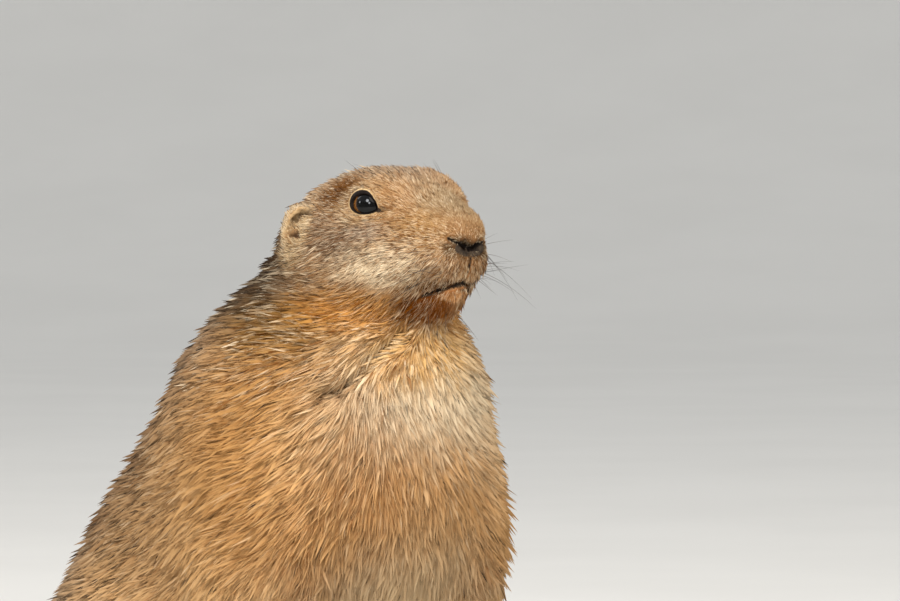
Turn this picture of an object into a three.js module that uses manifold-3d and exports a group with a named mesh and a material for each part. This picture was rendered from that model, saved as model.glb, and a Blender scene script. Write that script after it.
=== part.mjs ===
// A black-tailed prairie dog at life size. It sits on its haunches with its forefeet on the
// floor, its chest raised and its head up, looking a little to its left.
// Millimetres, +Z up. It faces -Y, and its left side is +X. While it is being built, y counts
// from the tip of the nose back to the tail, and z from the floor. The last lines centre it.

import * as THREE from 'three';
import { mergeVertices } from 'three/addons/utils/BufferGeometryUtils.js';
import Module from 'manifold-3d';

const wasm = await Module();
wasm.setup();

// Driving dimensions
const NOSE_UP = 174; // the tip of the nose above the floor
const HEAD_TURN = 5; // degrees, to its left
const TURNS_ABOUT = 50; // from the nose back to the joint of the head on the neck
const EYE_RADIUS = 5.6;
const EYE_AT = { side: 13.2, back: 27.3, up: 9.5 }; // from the tip of the nose
const EYE_LOOK = { ahead: 0.42, up: 0.16 }; // for each one out to the side
const EYE_OPEN = { ahead: 5, behind: 4.2, high: 3.3 }; // the gap between the lids, from its middle
const CORNER_DROP = 1.7; // how much lower than that middle the front corner of the eye is
const LID_THICK = 0.9;
const LID_POINTS = 22; // round the gap between the lids
const EAR_AT = { side: 19.9, back: 49.2, up: 1 };
const EAR_HALF = { out: 5.4, along: 5.6, up: 8.6 };
const EAR_LEAN = -12; // degrees
const EAR_CUP = { out: 3, ahead: 2.4 }; // how far the hollow of the ear is off its middle
const EAR_ROOM = 16; // how far round the ear the head is looked at
const CHEST = { back: 63, up: 105, half: [48, 52, 50], blend: 10 };
const THROAT = { back: 54.5, up: 133, half: [36, 42, 29], blend: 16 };
const BACK = { back: 96, up: 76, half: [46, 58, 46], blend: 14, lean: -38 };
const HIPS = { back: 120, up: 42, half: [48, 45, 44], blend: 16 };
const HAUNCH = { side: 36, back: 109, up: 37, half: [19.5, 38, 36], blend: 10 };
const SHOULDER = { side: 31.5, back: 50, up: 82, half: [15.5, 27, 34], blend: 12 };
const NAPE = { low: { back: 54, up: 140, radius: 31 }, high: { back: 49, up: 164, radius: 23 }, blend: 12 };
const ELBOW = { side: 36, back: 59, up: 54 };
const WRIST = { side: 29.5, back: 40, up: 11 };
const UPPER_ARM = { atShoulder: 15, atElbow: 13, blend: 8 }; // radii
const HEEL = { side: 38, back: 118 };
const FORE_TURN_OUT = 6; // degrees that the toes of each forefoot point out
const HIND_TURN_OUT = 9;
const HINDFOOT_LONG = 60; // heel to the tips of the claws
const TAIL_ROOT = 166; // from the nose back to where the tail leaves the body
const TAIL_LONG = 88;
const TAIL_HALF = { wide: 12.5, high: 8.2 };
const TAIL_SWING = 24; // degrees that its tip lies over to its right
const BLACK_TIP = 0.52; // how far along the tail its black tip begins
const GAP = 0.3; // between neighbours
const SUNK = 1; // how far each foot goes below the floor before its flat is cut

const HEAD_STEP = 3.8; // edge length of the faces
const BODY_STEP = 9.2;
const NECK_STEP = 7;
const LEG_STEP = 7;
const RUMP_STEP = 5;
const EAR_STEP = 3.4;

const vec = (x, y, z) => new THREE.Vector3(x, y, z);
const mix = THREE.MathUtils.lerp;
const radians = THREE.MathUtils.degToRad;

// Each form is a signed distance, negative inside, and the width over which it blends
function ball(centre, half, blend, frame = new THREE.Matrix4()) {
    const toLocal = frame.clone().multiply(new THREE.Matrix4().setPosition(centre)).invert();
    const local = vec(0, 0, 0);
    const distance = (point) => {
        local.copy(point).applyMatrix4(toLocal).divide(half);
        const reach = local.length();
        const slope = local.divide(half).length();
        return slope < 1e-9 ? -Math.min(half.x, half.y, half.z) : (reach * (reach - 1)) / slope;
    };
    return { distance, blend };
}

function limb(from, to, fromRadius, toRadius, blend) {
    const line = new THREE.Line3(from, to);
    const near = vec(0, 0, 0);
    const distance = (point) => {
        const along = line.closestPointToPointParameter(point, true);
        return line.at(along, near).distanceTo(point) - mix(fromRadius, toRadius, along);
    };
    return { distance, blend };
}

function blended(forms) {
    return (point) => {
        let all = Infinity;
        for (const { distance, blend } of forms) {
            const one = distance(point);
            const near = Math.max(blend - Math.abs(all - one), 0) / blend;
            all = Math.min(all, one) - (near * near * blend) / 4;
        }
        return all;
    };
}

function slopeAt(field, point) {
    const d = 0.05;
    const rise = (x, y, z) => {
        const ahead = field(vec(point.x + x, point.y + y, point.z + z));
        return (ahead - field(vec(point.x - x, point.y - y, point.z - z))) / (2 * d);
    };
    return vec(rise(d, 0, 0), rise(0, d, 0), rise(0, 0, d));
}

// Moves a point straight out or in, on to the place where the field is the given height
function slideOn(field, point, height = 0, most = Infinity) {
    const start = point.clone();
    for (let step = 0; step < 4; step += 1) {
        const slope = slopeAt(field, point);
        point.addScaledVector(slope, (height - field(point)) / Math.max(slope.lengthSq(), 1e-6));
    }
    const moved = point.clone().sub(start).clampLength(0, most);
    return point.copy(start).add(moved);
}

// The closed surface of a field within a box. Each cell that it passes through has one vertex,
// and each edge between cells that it crosses has one square of two faces.
function surfaceOf(field, low, high, step) {
    const middle = low.clone().add(high).multiplyScalar(0.5);
    const room = high.clone().sub(middle).subScalar(step * 1.5);
    const inBox = (p) => {
        const past = p.clone().sub(middle);
        const wall = Math.max(
            Math.abs(past.x) - room.x,
            Math.abs(past.y) - room.y,
            Math.abs(past.z) - room.z,
        );
        return Math.max(field(p), wall);
    };
    const count = high.clone().sub(low).divideScalar(step).ceil().addScalar(1).toArray();
    const number = (c) => (c[2] * count[1] + c[1]) * count[0] + c[0];
    const place = (c) => vec(...c).multiplyScalar(step).add(low);
    const heights = new Float64Array(count[0] * count[1] * count[2]);
    const eachCell = (visit) => {
        for (let k = 0; k < count[2]; k += 1) {
            for (let j = 0; j < count[1]; j += 1) {
                for (let i = 0; i < count[0]; i += 1) visit([i, j, k]);
            }
        }
    };
    eachCell((c) => {
        heights[number(c)] = inBox(place(c));
    });

    const vertices = [];
    const vertexOf = new Map();
    const corners = [0, 1, 2, 3, 4, 5, 6, 7].map((n) => [n & 1, (n >> 1) & 1, n >> 2]);
    eachCell((c) => {
        if (c.some((value, axis) => value > count[axis] - 2)) return;
        const total = vec(0, 0, 0);
        let crossings = 0;
        for (const from of corners) {
            for (let axis = 0; axis < 3; axis += 1) {
                if (from[axis] === 1) continue;
                const a = c.map((value, n) => value + from[n]);
                const b = a.map((value, n) => value + (n === axis ? 1 : 0));
                const [atA, atB] = [heights[number(a)], heights[number(b)]];
                if (atA < 0 === atB < 0) continue;
                total.add(place(a).lerp(place(b), atA / (atA - atB)));
                crossings += 1;
            }
        }
        if (crossings === 0) return;
        const vertex = slideOn(inBox, total.divideScalar(crossings), 0, step * 0.45);
        vertexOf.set(number(c), vertices.length);
        vertices.push(vertex);
    });

    const faces = [];
    eachCell((c) => {
        for (let axis = 0; axis < 3; axis += 1) {
            const [across, up] = [(axis + 1) % 3, (axis + 2) % 3];
            if (c[axis] > count[axis] - 2 || c[across] < 1 || c[up] < 1) continue;
            const next = c.map((value, n) => value + (n === axis ? 1 : 0));
            const [here, there] = [heights[number(c)], heights[number(next)]];
            if (here < 0 === there < 0) continue;
            const around = [[1, 1], [0, 1], [0, 0], [1, 0]].map(([back, down]) => {
                const cell = c.slice();
                cell[across] -= back;
                cell[up] -= down;
                return vertexOf.get(number(cell));
            });
            if (here >= 0) around.reverse();
            const [p, q, r, s] = around;
            const along = vertices[p].distanceTo(vertices[r]);
            if (along < vertices[q].distanceTo(vertices[s])) faces.push(p, q, r, p, r, s);
            else faces.push(q, r, s, q, s, p);
        }
    });
    return { positions: vertices.flatMap((v) => v.toArray()), faces };
}

// A closed tube through points, with a radius at each, flattened by a share of its height
function taperedTube(points, radii, sides, flat = 1, upright = vec(0, 0, 1)) {
    const positions = [];
    const faces = [];
    points.forEach((point, n) => {
        const before = points[Math.max(n - 1, 0)];
        const after = points[Math.min(n + 1, points.length - 1)];
        const ahead = after.clone().sub(before).normalize();
        const wide = upright.clone().cross(ahead).normalize();
        const high = ahead.clone().cross(wide);
        for (let side = 0; side < sides; side += 1) {
            const angle = (2 * Math.PI * side) / sides;
            const spot = point.clone().addScaledVector(wide, radii[n] * Math.cos(angle));
            spot.addScaledVector(high, radii[n] * flat * Math.sin(angle));
            positions.push(...spot.toArray());
        }
    });
    const ends = [points[0], points[points.length - 1]];
    ends.forEach((end) => positions.push(...end.toArray()));
    const [first, last] = [points.length * sides, points.length * sides + 1];
    const final = (points.length - 1) * sides;
    for (let side = 0; side < sides; side += 1) {
        const next = (side + 1) % sides;
        faces.push(first, next, side, last, final + side, final + next);
        for (let ring = 0; ring < final; ring += sides) {
            const [a, b] = [ring + side, ring + next];
            faces.push(a, b, b + sides, a, b + sides, a + sides);
        }
    }
    return { positions, faces };
}

// A tube that runs round a closed curve
function loopTube(points, radius, sides) {
    const positions = [];
    const faces = [];
    const middle = points.reduce((sum, p) => sum.add(p), vec(0, 0, 0)).divideScalar(points.length);
    points.forEach((point, n) => {
        const before = points[(n + points.length - 1) % points.length];
        const after = points[(n + 1) % points.length];
        const ahead = after.clone().sub(before).normalize();
        const out = point.clone().sub(middle);
        out.addScaledVector(ahead, -out.dot(ahead)).normalize();
        const over = ahead.clone().cross(out);
        for (let side = 0; side < sides; side += 1) {
            const angle = (2 * Math.PI * side) / sides;
            const spot = point.clone().addScaledVector(out, radius * Math.cos(angle));
            positions.push(...spot.addScaledVector(over, radius * Math.sin(angle)).toArray());
        }
    });
    for (let n = 0; n < points.length; n += 1) {
        for (let side = 0; side < sides; side += 1) {
            const [a, b] = [n * sides + side, n * sides + ((side + 1) % sides)];
            const [c, d] = [a, b].map((v) => (v + sides) % (points.length * sides));
            faces.push(a, b, d, a, d, c);
        }
    }
    return { positions, faces };
}

function solid({ positions, faces }) {
    return new wasm.Manifold(
        new wasm.Mesh({
            numProp: 3,
            vertProperties: new Float32Array(positions),
            triVerts: new Uint32Array(faces),
        }),
    );
}

function solidOf(geometry, matrix = new THREE.Matrix4()) {
    const bare = geometry.clone().applyMatrix4(matrix);
    bare.deleteAttribute('normal');
    bare.deleteAttribute('uv');
    const merged = mergeVertices(bare);
    return solid({ positions: merged.attributes.position.array, faces: merged.index.array });
}

function roundSolid(centre, half, frame = new THREE.Matrix4(), around = 28, rows = 18) {
    const matrix = frame.clone().multiply(new THREE.Matrix4().setPosition(centre));
    matrix.multiply(new THREE.Matrix4().makeScale(half.x, half.y, half.z));
    return solidOf(new THREE.SphereGeometry(1, around, rows), matrix);
}

function blockSolid(low, high, frame = new THREE.Matrix4()) {
    const size = high.clone().sub(low);
    const centre = low.clone().add(high).multiplyScalar(0.5);
    const matrix = frame.clone().multiply(new THREE.Matrix4().setPosition(centre));
    return solidOf(new THREE.BoxGeometry(size.x, size.y, size.z), matrix);
}

const joined = (solids) => solids.reduce((all, one) => all.add(one));
const grown = (half, by) => half.clone().addScalar(by);

function largestOf(shape) {
    const pieces = shape.decompose();
    return pieces.reduce((best, one) => (one.volume() > best.volume() ? one : best));
}

// The head's frame: its origin is the tip of the nose
const headFrame = new THREE.Matrix4()
    .makeTranslation(0, TURNS_ABOUT, NOSE_UP)
    .multiply(new THREE.Matrix4().makeRotationZ(radians(HEAD_TURN)))
    .multiply(new THREE.Matrix4().makeTranslation(0, -TURNS_ABOUT, 0));
const onHead = (side, back, up) => vec(side, back, up).applyMatrix4(headFrame);
const BOTH = [1, -1]; // its left side, then its right

// A form of the trunk, which leans about its own middle
function mass({ side = 0, back, up, half, blend, lean = 0 }, flip = 1) {
    const frame = new THREE.Matrix4().setPosition(vec(flip * side, back, up));
    frame.multiply(new THREE.Matrix4().makeRotationX(radians(lean)));
    return ball(vec(0, 0, 0), vec(...half), blend, frame);
}

function trunkForms() {
    const { low, high } = NAPE;
    const forms = [
        mass(CHEST),
        mass(THROAT),
        limb(vec(0, low.back, low.up), vec(0, high.back, high.up), low.radius, high.radius, NAPE.blend),
        mass(BACK),
        mass(HIPS),
    ];
    for (const side of BOTH) {
        forms.push(mass(HAUNCH, side));
        forms.push(mass(SHOULDER, side));
    }
    return forms;
}

const jointAt = (side, joint) => vec(side * joint.side, joint.back, joint.up);

function upperArm(side) {
    const { atShoulder, atElbow, blend } = UPPER_ARM;
    return limb(jointAt(side, SHOULDER), jointAt(side, ELBOW), atShoulder, atElbow, blend);
}

// The forearm tapers from inside the elbow to the wrist, and ends in the heel of the hand
const FOREARM = { along: [-0.12, 0.15, 0.45, 0.75, 0.95, 1.08], radii: [9, 12, 10.6, 8.4, 7.4, 5.4] };

function forearm(side, by = 0) {
    const [elbow, wrist] = [jointAt(side, ELBOW), jointAt(side, WRIST)];
    const points = FOREARM.along.map((t) => elbow.clone().lerp(wrist, t));
    const radii = FOREARM.radii.map((radius) => radius + by);
    return solid(taperedTube(points, radii, 12, 1.12, vec(1, 0, 0)));
}

// The forms of the head, from the tip of the nose: their middles, half sizes and blends
const MIDDLE_FORMS = {
    skull: { at: [0, 38.5, -1.4], half: [21.5, 26, 21], blend: 8 },
    crown: { at: [0, 33, 6.6], half: [11, 18, 11.4], blend: 6 },
    jaw: { at: [0, 34, -14], half: [14, 21, 12.5], blend: 10 },
    forehead: { at: [0, 24, 3], half: [13.5, 19, 13.5], blend: 6 },
    chin: { at: [0, 12.5, -16.2], half: [7.6, 9, 6.6], blend: 5 },
    muzzle: { at: [0, 12, 0.5], half: [9, 13, 9.5], blend: 4 },
};
const PAIRED_FORMS = {
    brow: { at: [9.5, 29, 7.8], half: [9.5, 15, 11.9], blend: 5 },
    cheek: { at: [13, 37, -6.5], half: [11.2, 17, 13], blend: 9 },
    pouch: { at: [9, 19, -8], half: [7.5, 12, 9], blend: 7 },
    noseSide: { at: [3.4, 8.8, 2.2], half: [5.4, 8.8, 6.4], blend: 4 },
    upperLip: { at: [4.6, 8.6, -7.6], half: [6.2, 8.6, 7], blend: 5 },
};

function headForms() {
    const placed = (side) => ({ at: [x, y, z], half, blend }) =>
        ball(vec(side * x, y, z), vec(...half), blend, headFrame);
    const forms = Object.values(MIDDLE_FORMS).map(placed(1));
    for (const side of BOTH) forms.push(...Object.values(PAIRED_FORMS).map(placed(side)));
    return forms;
}

const wholeField = blended([...trunkForms(), ...BOTH.map(upperArm), ...headForms()]);
const headField = blended(headForms());

const HEAD_LOW = vec(-34, -10, NOSE_UP - 48);
const HEAD_HIGH = vec(40, 96, NOSE_UP + 32);
const BODY_LOW = vec(-76, -14, -14);
const BODY_HIGH = vec(76, 190, 160);
const NECK_LOW = vec(-62, -14, 100);
const NECK_HIGH = vec(62, 140, NOSE_UP + 14);
const LEG_LOW = { side: 2, back: 2, up: 4 };
const LEG_HIGH = { side: 78, back: 92, up: 126 };
const RUMP_LOW = vec(-60, 110, -30);
const RUMP_HIGH = vec(60, 200, 80);
const HEAD_REACH = { centre: vec(0, 28, 16), half: vec(48, 46, 44.5) };

const FORELEG_REACH = { side: 44, back: 46, up: 66, half: vec(25, 26, 42) };
const HINDLEG_REACH = { side: 60, back: 106, up: 26, half: vec(39, 46, 54) };
const COLLAR = { back: 55, up: 131, lean: -14 }; // where the neck is cut from the torso

// How far each node reaches along the whole body
const headRegion = (by) => roundSolid(HEAD_REACH.centre, grown(HEAD_REACH.half, by), headFrame, 40, 28);
const legRegion = (side, reach, by) =>
    roundSolid(jointAt(side, reach), grown(reach.half, by), undefined, 18, 12);
const neckFrame = new THREE.Matrix4()
    .makeTranslation(0, COLLAR.back, COLLAR.up)
    .multiply(new THREE.Matrix4().makeRotationX(radians(COLLAR.lean)));
const aboveNeckCut = (by) => blockSolid(vec(-90, -90, by), vec(90, 110, 110), neckFrame);
const floorBlock = blockSolid(vec(-150, -60, -60), vec(150, 320, 0));

// A foot's own frame: out from the body, ahead to the toes, and up
function footPlaces(side, sole, turnOut) {
    const [cos, sin] = [Math.cos(radians(turnOut)), Math.sin(radians(turnOut))];
    return (out, ahead, up) => {
        const x = side * (sole.side + out * cos + ahead * sin);
        return vec(x, sole.back - (ahead * cos - out * sin), up);
    };
}

// A toe that arches from its root to the floor, and its claw, which curves down to a point
function digit(place, root, spread, size) {
    const [cos, sin] = [Math.cos(radians(spread)), Math.sin(radians(spread))];
    const spot = (along, up) => place(root.out + along * sin, root.ahead + along * cos, up);
    const { long, thick, claw } = size;
    const toeUp = thick - SUNK;
    const toe = taperedTube(
        [
            spot(-long * 0.5, toeUp + 1.2),
            spot(long * 0.3, toeUp + 1.6),
            spot(long * 0.85, toeUp + 0.2),
            spot(long + thick * 0.6, toeUp),
        ],
        [thick * 0.8, thick, thick, thick * 0.45],
        6,
    );
    const nail = taperedTube(
        [
            spot(long * 0.8, toeUp + 0.9),
            spot(long + claw * 0.5, toeUp + 1.1),
            spot(long + claw, 0.7),
        ],
        [thick * 0.5, thick * 0.44, 0.28],
        5,
    );
    return [toe, nail];
}

const FORE_DIGITS = [
    { out: -5.4, ahead: 5, spread: -24, long: 8, thick: 2.7, claw: 8 },
    { out: -2, ahead: 8, spread: -8, long: 10, thick: 3, claw: 9.5 },
    { out: 2.2, ahead: 8, spread: 8, long: 9.6, thick: 3, claw: 9.5 },
    { out: 5.8, ahead: 4.5, spread: 25, long: 8, thick: 2.7, claw: 8 },
];

const FORE_PAD = { half: vec(8, 12, 5.6), ahead: 3, up: 4.2 };

const forefootPlaces = (side) =>
    footPlaces(side, { side: WRIST.side - 0.5, back: WRIST.back - 3 }, FORE_TURN_OUT);

function forefoot(side) {
    const place = forefootPlaces(side);
    const pad = roundSolid(place(0, FORE_PAD.ahead, FORE_PAD.up), FORE_PAD.half, undefined, 12, 8);
    const digits = FORE_DIGITS.flatMap((d) => digit(place, d, d.spread, d)).map(solid);
    return largestOf(joined([pad, ...digits]).subtract(floorBlock));
}

function forefootRoom(side) {
    const place = forefootPlaces(side);
    const half = grown(FORE_PAD.half, GAP);
    return roundSolid(place(0, FORE_PAD.ahead, FORE_PAD.up), half, undefined, 12, 8);
}

const HIND_DIGITS = [
    { out: -7.2, ahead: 34, spread: -14, long: 6, thick: 2.5, claw: 5 },
    { out: -4, ahead: 38, spread: -6, long: 9.5, thick: 2.9, claw: 6.5 },
    { out: 0, ahead: 39, spread: 0, long: 10.5, thick: 3, claw: 7 },
    { out: 4, ahead: 38, spread: 6, long: 9.5, thick: 2.9, claw: 6.5 },
    { out: 7.4, ahead: 33, spread: 15, long: 6, thick: 2.5, claw: 5 },
];

// The sole, along the length of the foot from its heel
const SOLE = { along: [0.02, 0.1, 0.3, 0.5, 0.64, 0.7], radii: [3.5, 6, 7, 8.2, 8, 4], up: 4.6 };

function hindSole(side, by) {
    const place = footPlaces(side, HEEL, HIND_TURN_OUT);
    const up = SOLE.up - SUNK / 2;
    const points = SOLE.along.map((share) => place(0, share * HINDFOOT_LONG, up));
    const radii = SOLE.radii.map((radius) => radius + by);
    return solid(taperedTube(points, radii, 12, 0.68));
}

function hindfoot(side) {
    const place = footPlaces(side, HEEL, HIND_TURN_OUT);
    const digits = HIND_DIGITS.flatMap((d) => digit(place, d, d.spread, d)).map(solid);
    return largestOf(joined([hindSole(side, 0), ...digits]).subtract(floorBlock));
}

function tailSolid() {
    const shares = [-0.2, 0, 0.15, 0.35, 0.6, 0.8, 0.93, 1];
    const thick = [0.55, 0.66, 0.78, 0.92, 1, 0.9, 0.6, 0.12];
    const points = shares.map((share) => {
        const swing = radians(TAIL_SWING) * share;
        const along = TAIL_LONG * share;
        const up = TAIL_HALF.high * 0.9 - SUNK + 5 * Math.max(0.25 - share, 0);
        return vec(-along * Math.sin(swing) * 0.8, TAIL_ROOT + along * Math.cos(swing), up);
    });
    const radii = thick.map((share) => share * TAIL_HALF.wide);
    return solid(taperedTube(points, radii, 16, TAIL_HALF.high / TAIL_HALF.wide));
}

// The eye looks out to the side and a little ahead and up
function eyeFrame(side) {
    const centre = vec(side * EYE_AT.side, EYE_AT.back, EYE_AT.up);
    const out = vec(side, -EYE_LOOK.ahead, EYE_LOOK.up).normalize();
    const up = vec(0, 0, 1).addScaledVector(out, -out.z).normalize();
    const along = up.clone().cross(out);
    const frame = new THREE.Matrix4().makeBasis(along, up, out).setPosition(centre);
    return headFrame.clone().multiply(frame);
}

// A point on the margin of the lids, which is round behind and drawn out and down to its front
// corner. The frame's x runs back on the left side and ahead on the right.
function lidPoint(turn, over, side) {
    const ahead = Math.cos(turn);
    const toCorner = Math.max(ahead, 0) ** 2;
    const x = -side * ahead * (ahead > 0 ? EYE_OPEN.ahead : EYE_OPEN.behind);
    const y = EYE_OPEN.high * Math.sin(turn) * (1 - 0.3 * toCorner) - CORNER_DROP * toCorner;
    const far = EYE_RADIUS + over;
    return vec(x, y, Math.sqrt(Math.max(far * far - x * x - y * y, 4)));
}

function lidLoop(side, over, radius) {
    const frame = eyeFrame(side);
    const points = Array.from({ length: LID_POINTS }, (_, n) =>
        lidPoint((2 * Math.PI * n) / LID_POINTS, over, side).applyMatrix4(frame),
    );
    return solid(loopTube(points, radius, 7));
}

// What shows between the lids, as a plug that cuts their opening
function lidOpening(side) {
    const frame = eyeFrame(side);
    const outline = new THREE.Shape(
        Array.from({ length: LID_POINTS }, (_, n) => {
            const spot = lidPoint((2 * Math.PI * n) / LID_POINTS, 0.5, side);
            return new THREE.Vector2(spot.x, spot.y);
        }),
    );
    const plug = new THREE.ExtrudeGeometry(outline, { depth: 9, bevelEnabled: false });
    return solidOf(plug, frame);
}

const MOUTH = [
    vec(0, 0, -13.2),
    vec(3.5, 1, -14.1),
    vec(7, 4, -15.3),
    vec(9.2, 7.6, -16.6),
    vec(10.6, 10.6, -17.7),
    vec(11.4, 13.6, -18.2),
];

const LIP_RADIUS = 0.85;
const SLIT_RADIUS = 0.5;

// A tube along a line that lies on the head
function tubeOnHead(places, radii, depth = 0, sides = 6) {
    const points = places.map((p) => slideOn(headField, p.clone().applyMatrix4(headFrame), -depth));
    return solid(taperedTube(points, radii, sides));
}

function mouthLine(radius) {
    const rightToLeft = [
        ...MOUTH.slice(1).reverse().map((p) => vec(-p.x, p.y, p.z)),
        ...MOUTH,
    ];
    const radii = rightToLeft.map((p) => radius * (Math.abs(p.x) > 11 ? 0.5 : 1));
    return tubeOnHead(rightToLeft, radii);
}

const NOSTRIL = [vec(2, 0.3, -2), vec(3.5, 0.7, -1.8), vec(5, 1.4, -1), vec(6.3, 2.4, 0.2)];

function noseCuts() {
    const cuts = [tubeOnHead([vec(0, -1, -5), vec(0, 0, -8), vec(0, 0, -12.6)], [0.7, 0.6, 0.6])];
    for (const side of BOTH) {
        const line = NOSTRIL.map((p) => vec(side * p.x, p.y, p.z));
        cuts.push(tubeOnHead(line, [1.6, 1.5, 1.1, 0.5], 0.4, 8));
    }
    return joined(cuts);
}

function headSolid() {
    let head = solid(surfaceOf(wholeField, HEAD_LOW, HEAD_HIGH, HEAD_STEP));
    head = head.intersect(headRegion(0));
    for (const side of BOTH) {
        const orbit = vec(1, 1, 1).multiplyScalar(EYE_RADIUS + LID_THICK);
        const socket = vec(1, 1, 1).multiplyScalar(EYE_RADIUS + GAP);
        head = head.add(roundSolid(vec(0, 0, 0), orbit, eyeFrame(side), 18, 12));
        head = head.subtract(lidOpening(side));
        head = head.add(lidLoop(side, GAP + LID_THICK * 0.6, LID_THICK * 0.6));
        head = head.subtract(roundSolid(vec(0, 0, 0), socket, eyeFrame(side), 16, 12));
    }
    head = head.add(mouthLine(LIP_RADIUS)).subtract(mouthLine(SLIT_RADIUS)).subtract(noseCuts());
    return largestOf(head);
}

function earSolid(side) {
    const { out, along, up } = EAR_HALF;
    const lean = new THREE.Matrix4().makeRotationX(radians(EAR_LEAN));
    const frame = headFrame.clone().multiply(
        new THREE.Matrix4().setPosition(vec(side * EAR_AT.side, EAR_AT.back, EAR_AT.up)).multiply(lean),
    );
    const outer = roundSolid(vec(0, 0, 0), vec(out, along, up), frame, 18, 12);
    const cupHalf = vec(out * 0.82, along * 0.8, up * 0.76);
    const cup = roundSolid(vec(side * EAR_CUP.out, -EAR_CUP.ahead, -0.3), cupHalf, frame, 16, 10);
    const place = onHead(side * EAR_AT.side, EAR_AT.back, EAR_AT.up);
    const near = (by) => place.clone().addScalar(by);
    const room = surfaceOf((p) => wholeField(p) - GAP, near(-EAR_ROOM), near(EAR_ROOM), EAR_STEP);
    return largestOf(outer.subtract(cup).subtract(solid(room)));
}

// Looks
const finish = (color, roughness) => ({ color, roughness, metalness: 0 });
const HEAD_FUR = finish(0xb18d68, 0.95);
const BODY_FUR = finish(0xb9946a, 0.95);
const PALE_FUR = finish(0xc9a880, 0.95);
const BLACK_FUR = finish(0x2a211b, 0.95);
const EYE = finish(0x120b07, 0.08);

const prairieDog = new THREE.Group();

function addNode(name, shape, look) {
    const mesh = shape.getMesh();
    const geometry = new THREE.BufferGeometry();
    geometry.setAttribute('position', new THREE.BufferAttribute(mesh.vertProperties, 3));
    geometry.setIndex(new THREE.BufferAttribute(mesh.triVerts, 1));
    geometry.computeVertexNormals();
    const node = new THREE.Mesh(geometry, new THREE.MeshStandardMaterial(look));
    node.name = name;
    prairieDog.add(node);
}

const sideName = (side) => (side > 0 ? 'left' : 'right');

function addHead() {
    addNode('head', headSolid(), HEAD_FUR);
    for (const side of BOTH) {
        addNode(`ear_${sideName(side)}`, earSolid(side), PALE_FUR);
        const half = vec(1, 1, 1).multiplyScalar(EYE_RADIUS);
        addNode(`eye_${sideName(side)}`, roundSolid(vec(0, 0, 0), half, eyeFrame(side), 16, 12), EYE);
    }
}

function addBody() {
    const body = solid(surfaceOf(wholeField, BODY_LOW, BODY_HIGH, BODY_STEP)).subtract(floorBlock);
    let rest = body.subtract(headRegion(GAP));
    for (const side of BOTH) {
        const feet = hindSole(side, GAP).add(forefootRoom(side));
        const name = sideName(side);
        addNode(`forefoot_${name}`, forefoot(side), PALE_FUR);
        addNode(`hindfoot_${name}`, hindfoot(side), PALE_FUR);

        const low = vec(side > 0 ? LEG_LOW.side : -LEG_HIGH.side, LEG_LOW.back, LEG_LOW.up);
        const high = vec(side > 0 ? LEG_HIGH.side : -LEG_LOW.side, LEG_HIGH.back, LEG_HIGH.up);
        const shoulder = solid(surfaceOf(wholeField, low, high, LEG_STEP));
        const upperPart = shoulder.intersect(legRegion(side, FORELEG_REACH, 0));
        const foreleg = upperPart.add(forearm(side));
        addNode(`foreleg_${name}`, largestOf(foreleg.subtract(feet)), BODY_FUR);
        const forelegRoom = legRegion(side, FORELEG_REACH, GAP).add(forearm(side, GAP));
        rest = rest.subtract(forelegRoom).subtract(feet);

        const hindleg = rest.intersect(legRegion(side, HINDLEG_REACH, 0));
        addNode(`hindleg_${name}`, largestOf(hindleg), BODY_FUR);
        rest = rest.subtract(legRegion(side, HINDLEG_REACH, GAP));
    }
    const neck = solid(surfaceOf(wholeField, NECK_LOW, NECK_HIGH, NECK_STEP));
    const collar = neck.subtract(headRegion(GAP)).intersect(aboveNeckCut(GAP));
    addNode('neck', largestOf(collar), BODY_FUR);
    addNode('torso', largestOf(rest.subtract(aboveNeckCut(0))), BODY_FUR);
}

function addTail() {
    const room = surfaceOf((p) => wholeField(p) - GAP, RUMP_LOW, RUMP_HIGH, RUMP_STEP);
    const tail = largestOf(tailSolid().subtract(floorBlock).subtract(solid(room)));
    const cutAt = TAIL_ROOT + TAIL_LONG * BLACK_TIP;
    const behind = (by) => blockSolid(vec(-99, cutAt + by, -50), vec(99, 400, 99));
    addNode('tail', tail.subtract(behind(0)), BODY_FUR);
    addNode('tail_tip', tail.intersect(behind(GAP)), BLACK_FUR);
}

addHead();
addBody();
addTail();

// The floor is z = 0, and the origin is under the middle of its box
const box = new THREE.Box3().setFromObject(prairieDog);
const middle = box.getCenter(vec(0, 0, 0));
prairieDog.position.set(-middle.x, -middle.y, 0);
prairieDog.updateMatrixWorld(true);

export default prairieDog;
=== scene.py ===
"""A black-tailed prairie dog at life size, sitting up with its head raised, as a still model.

The animal's sizes are named in millimetres and turned into metres where they are used. The
studio's are in metres. +Z is up, the animal faces -Y and its left side is +X. A place on the
body is (side, back, up): out from the middle, back from the tip of the nose, and up from the
floor. On the head, up counts from the nose.
"""

import math

import bmesh
import bpy
import numpy as np
from mathutils import Matrix, Vector
from mathutils.bvhtree import BVHTree
from mathutils.kdtree import KDTree


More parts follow.
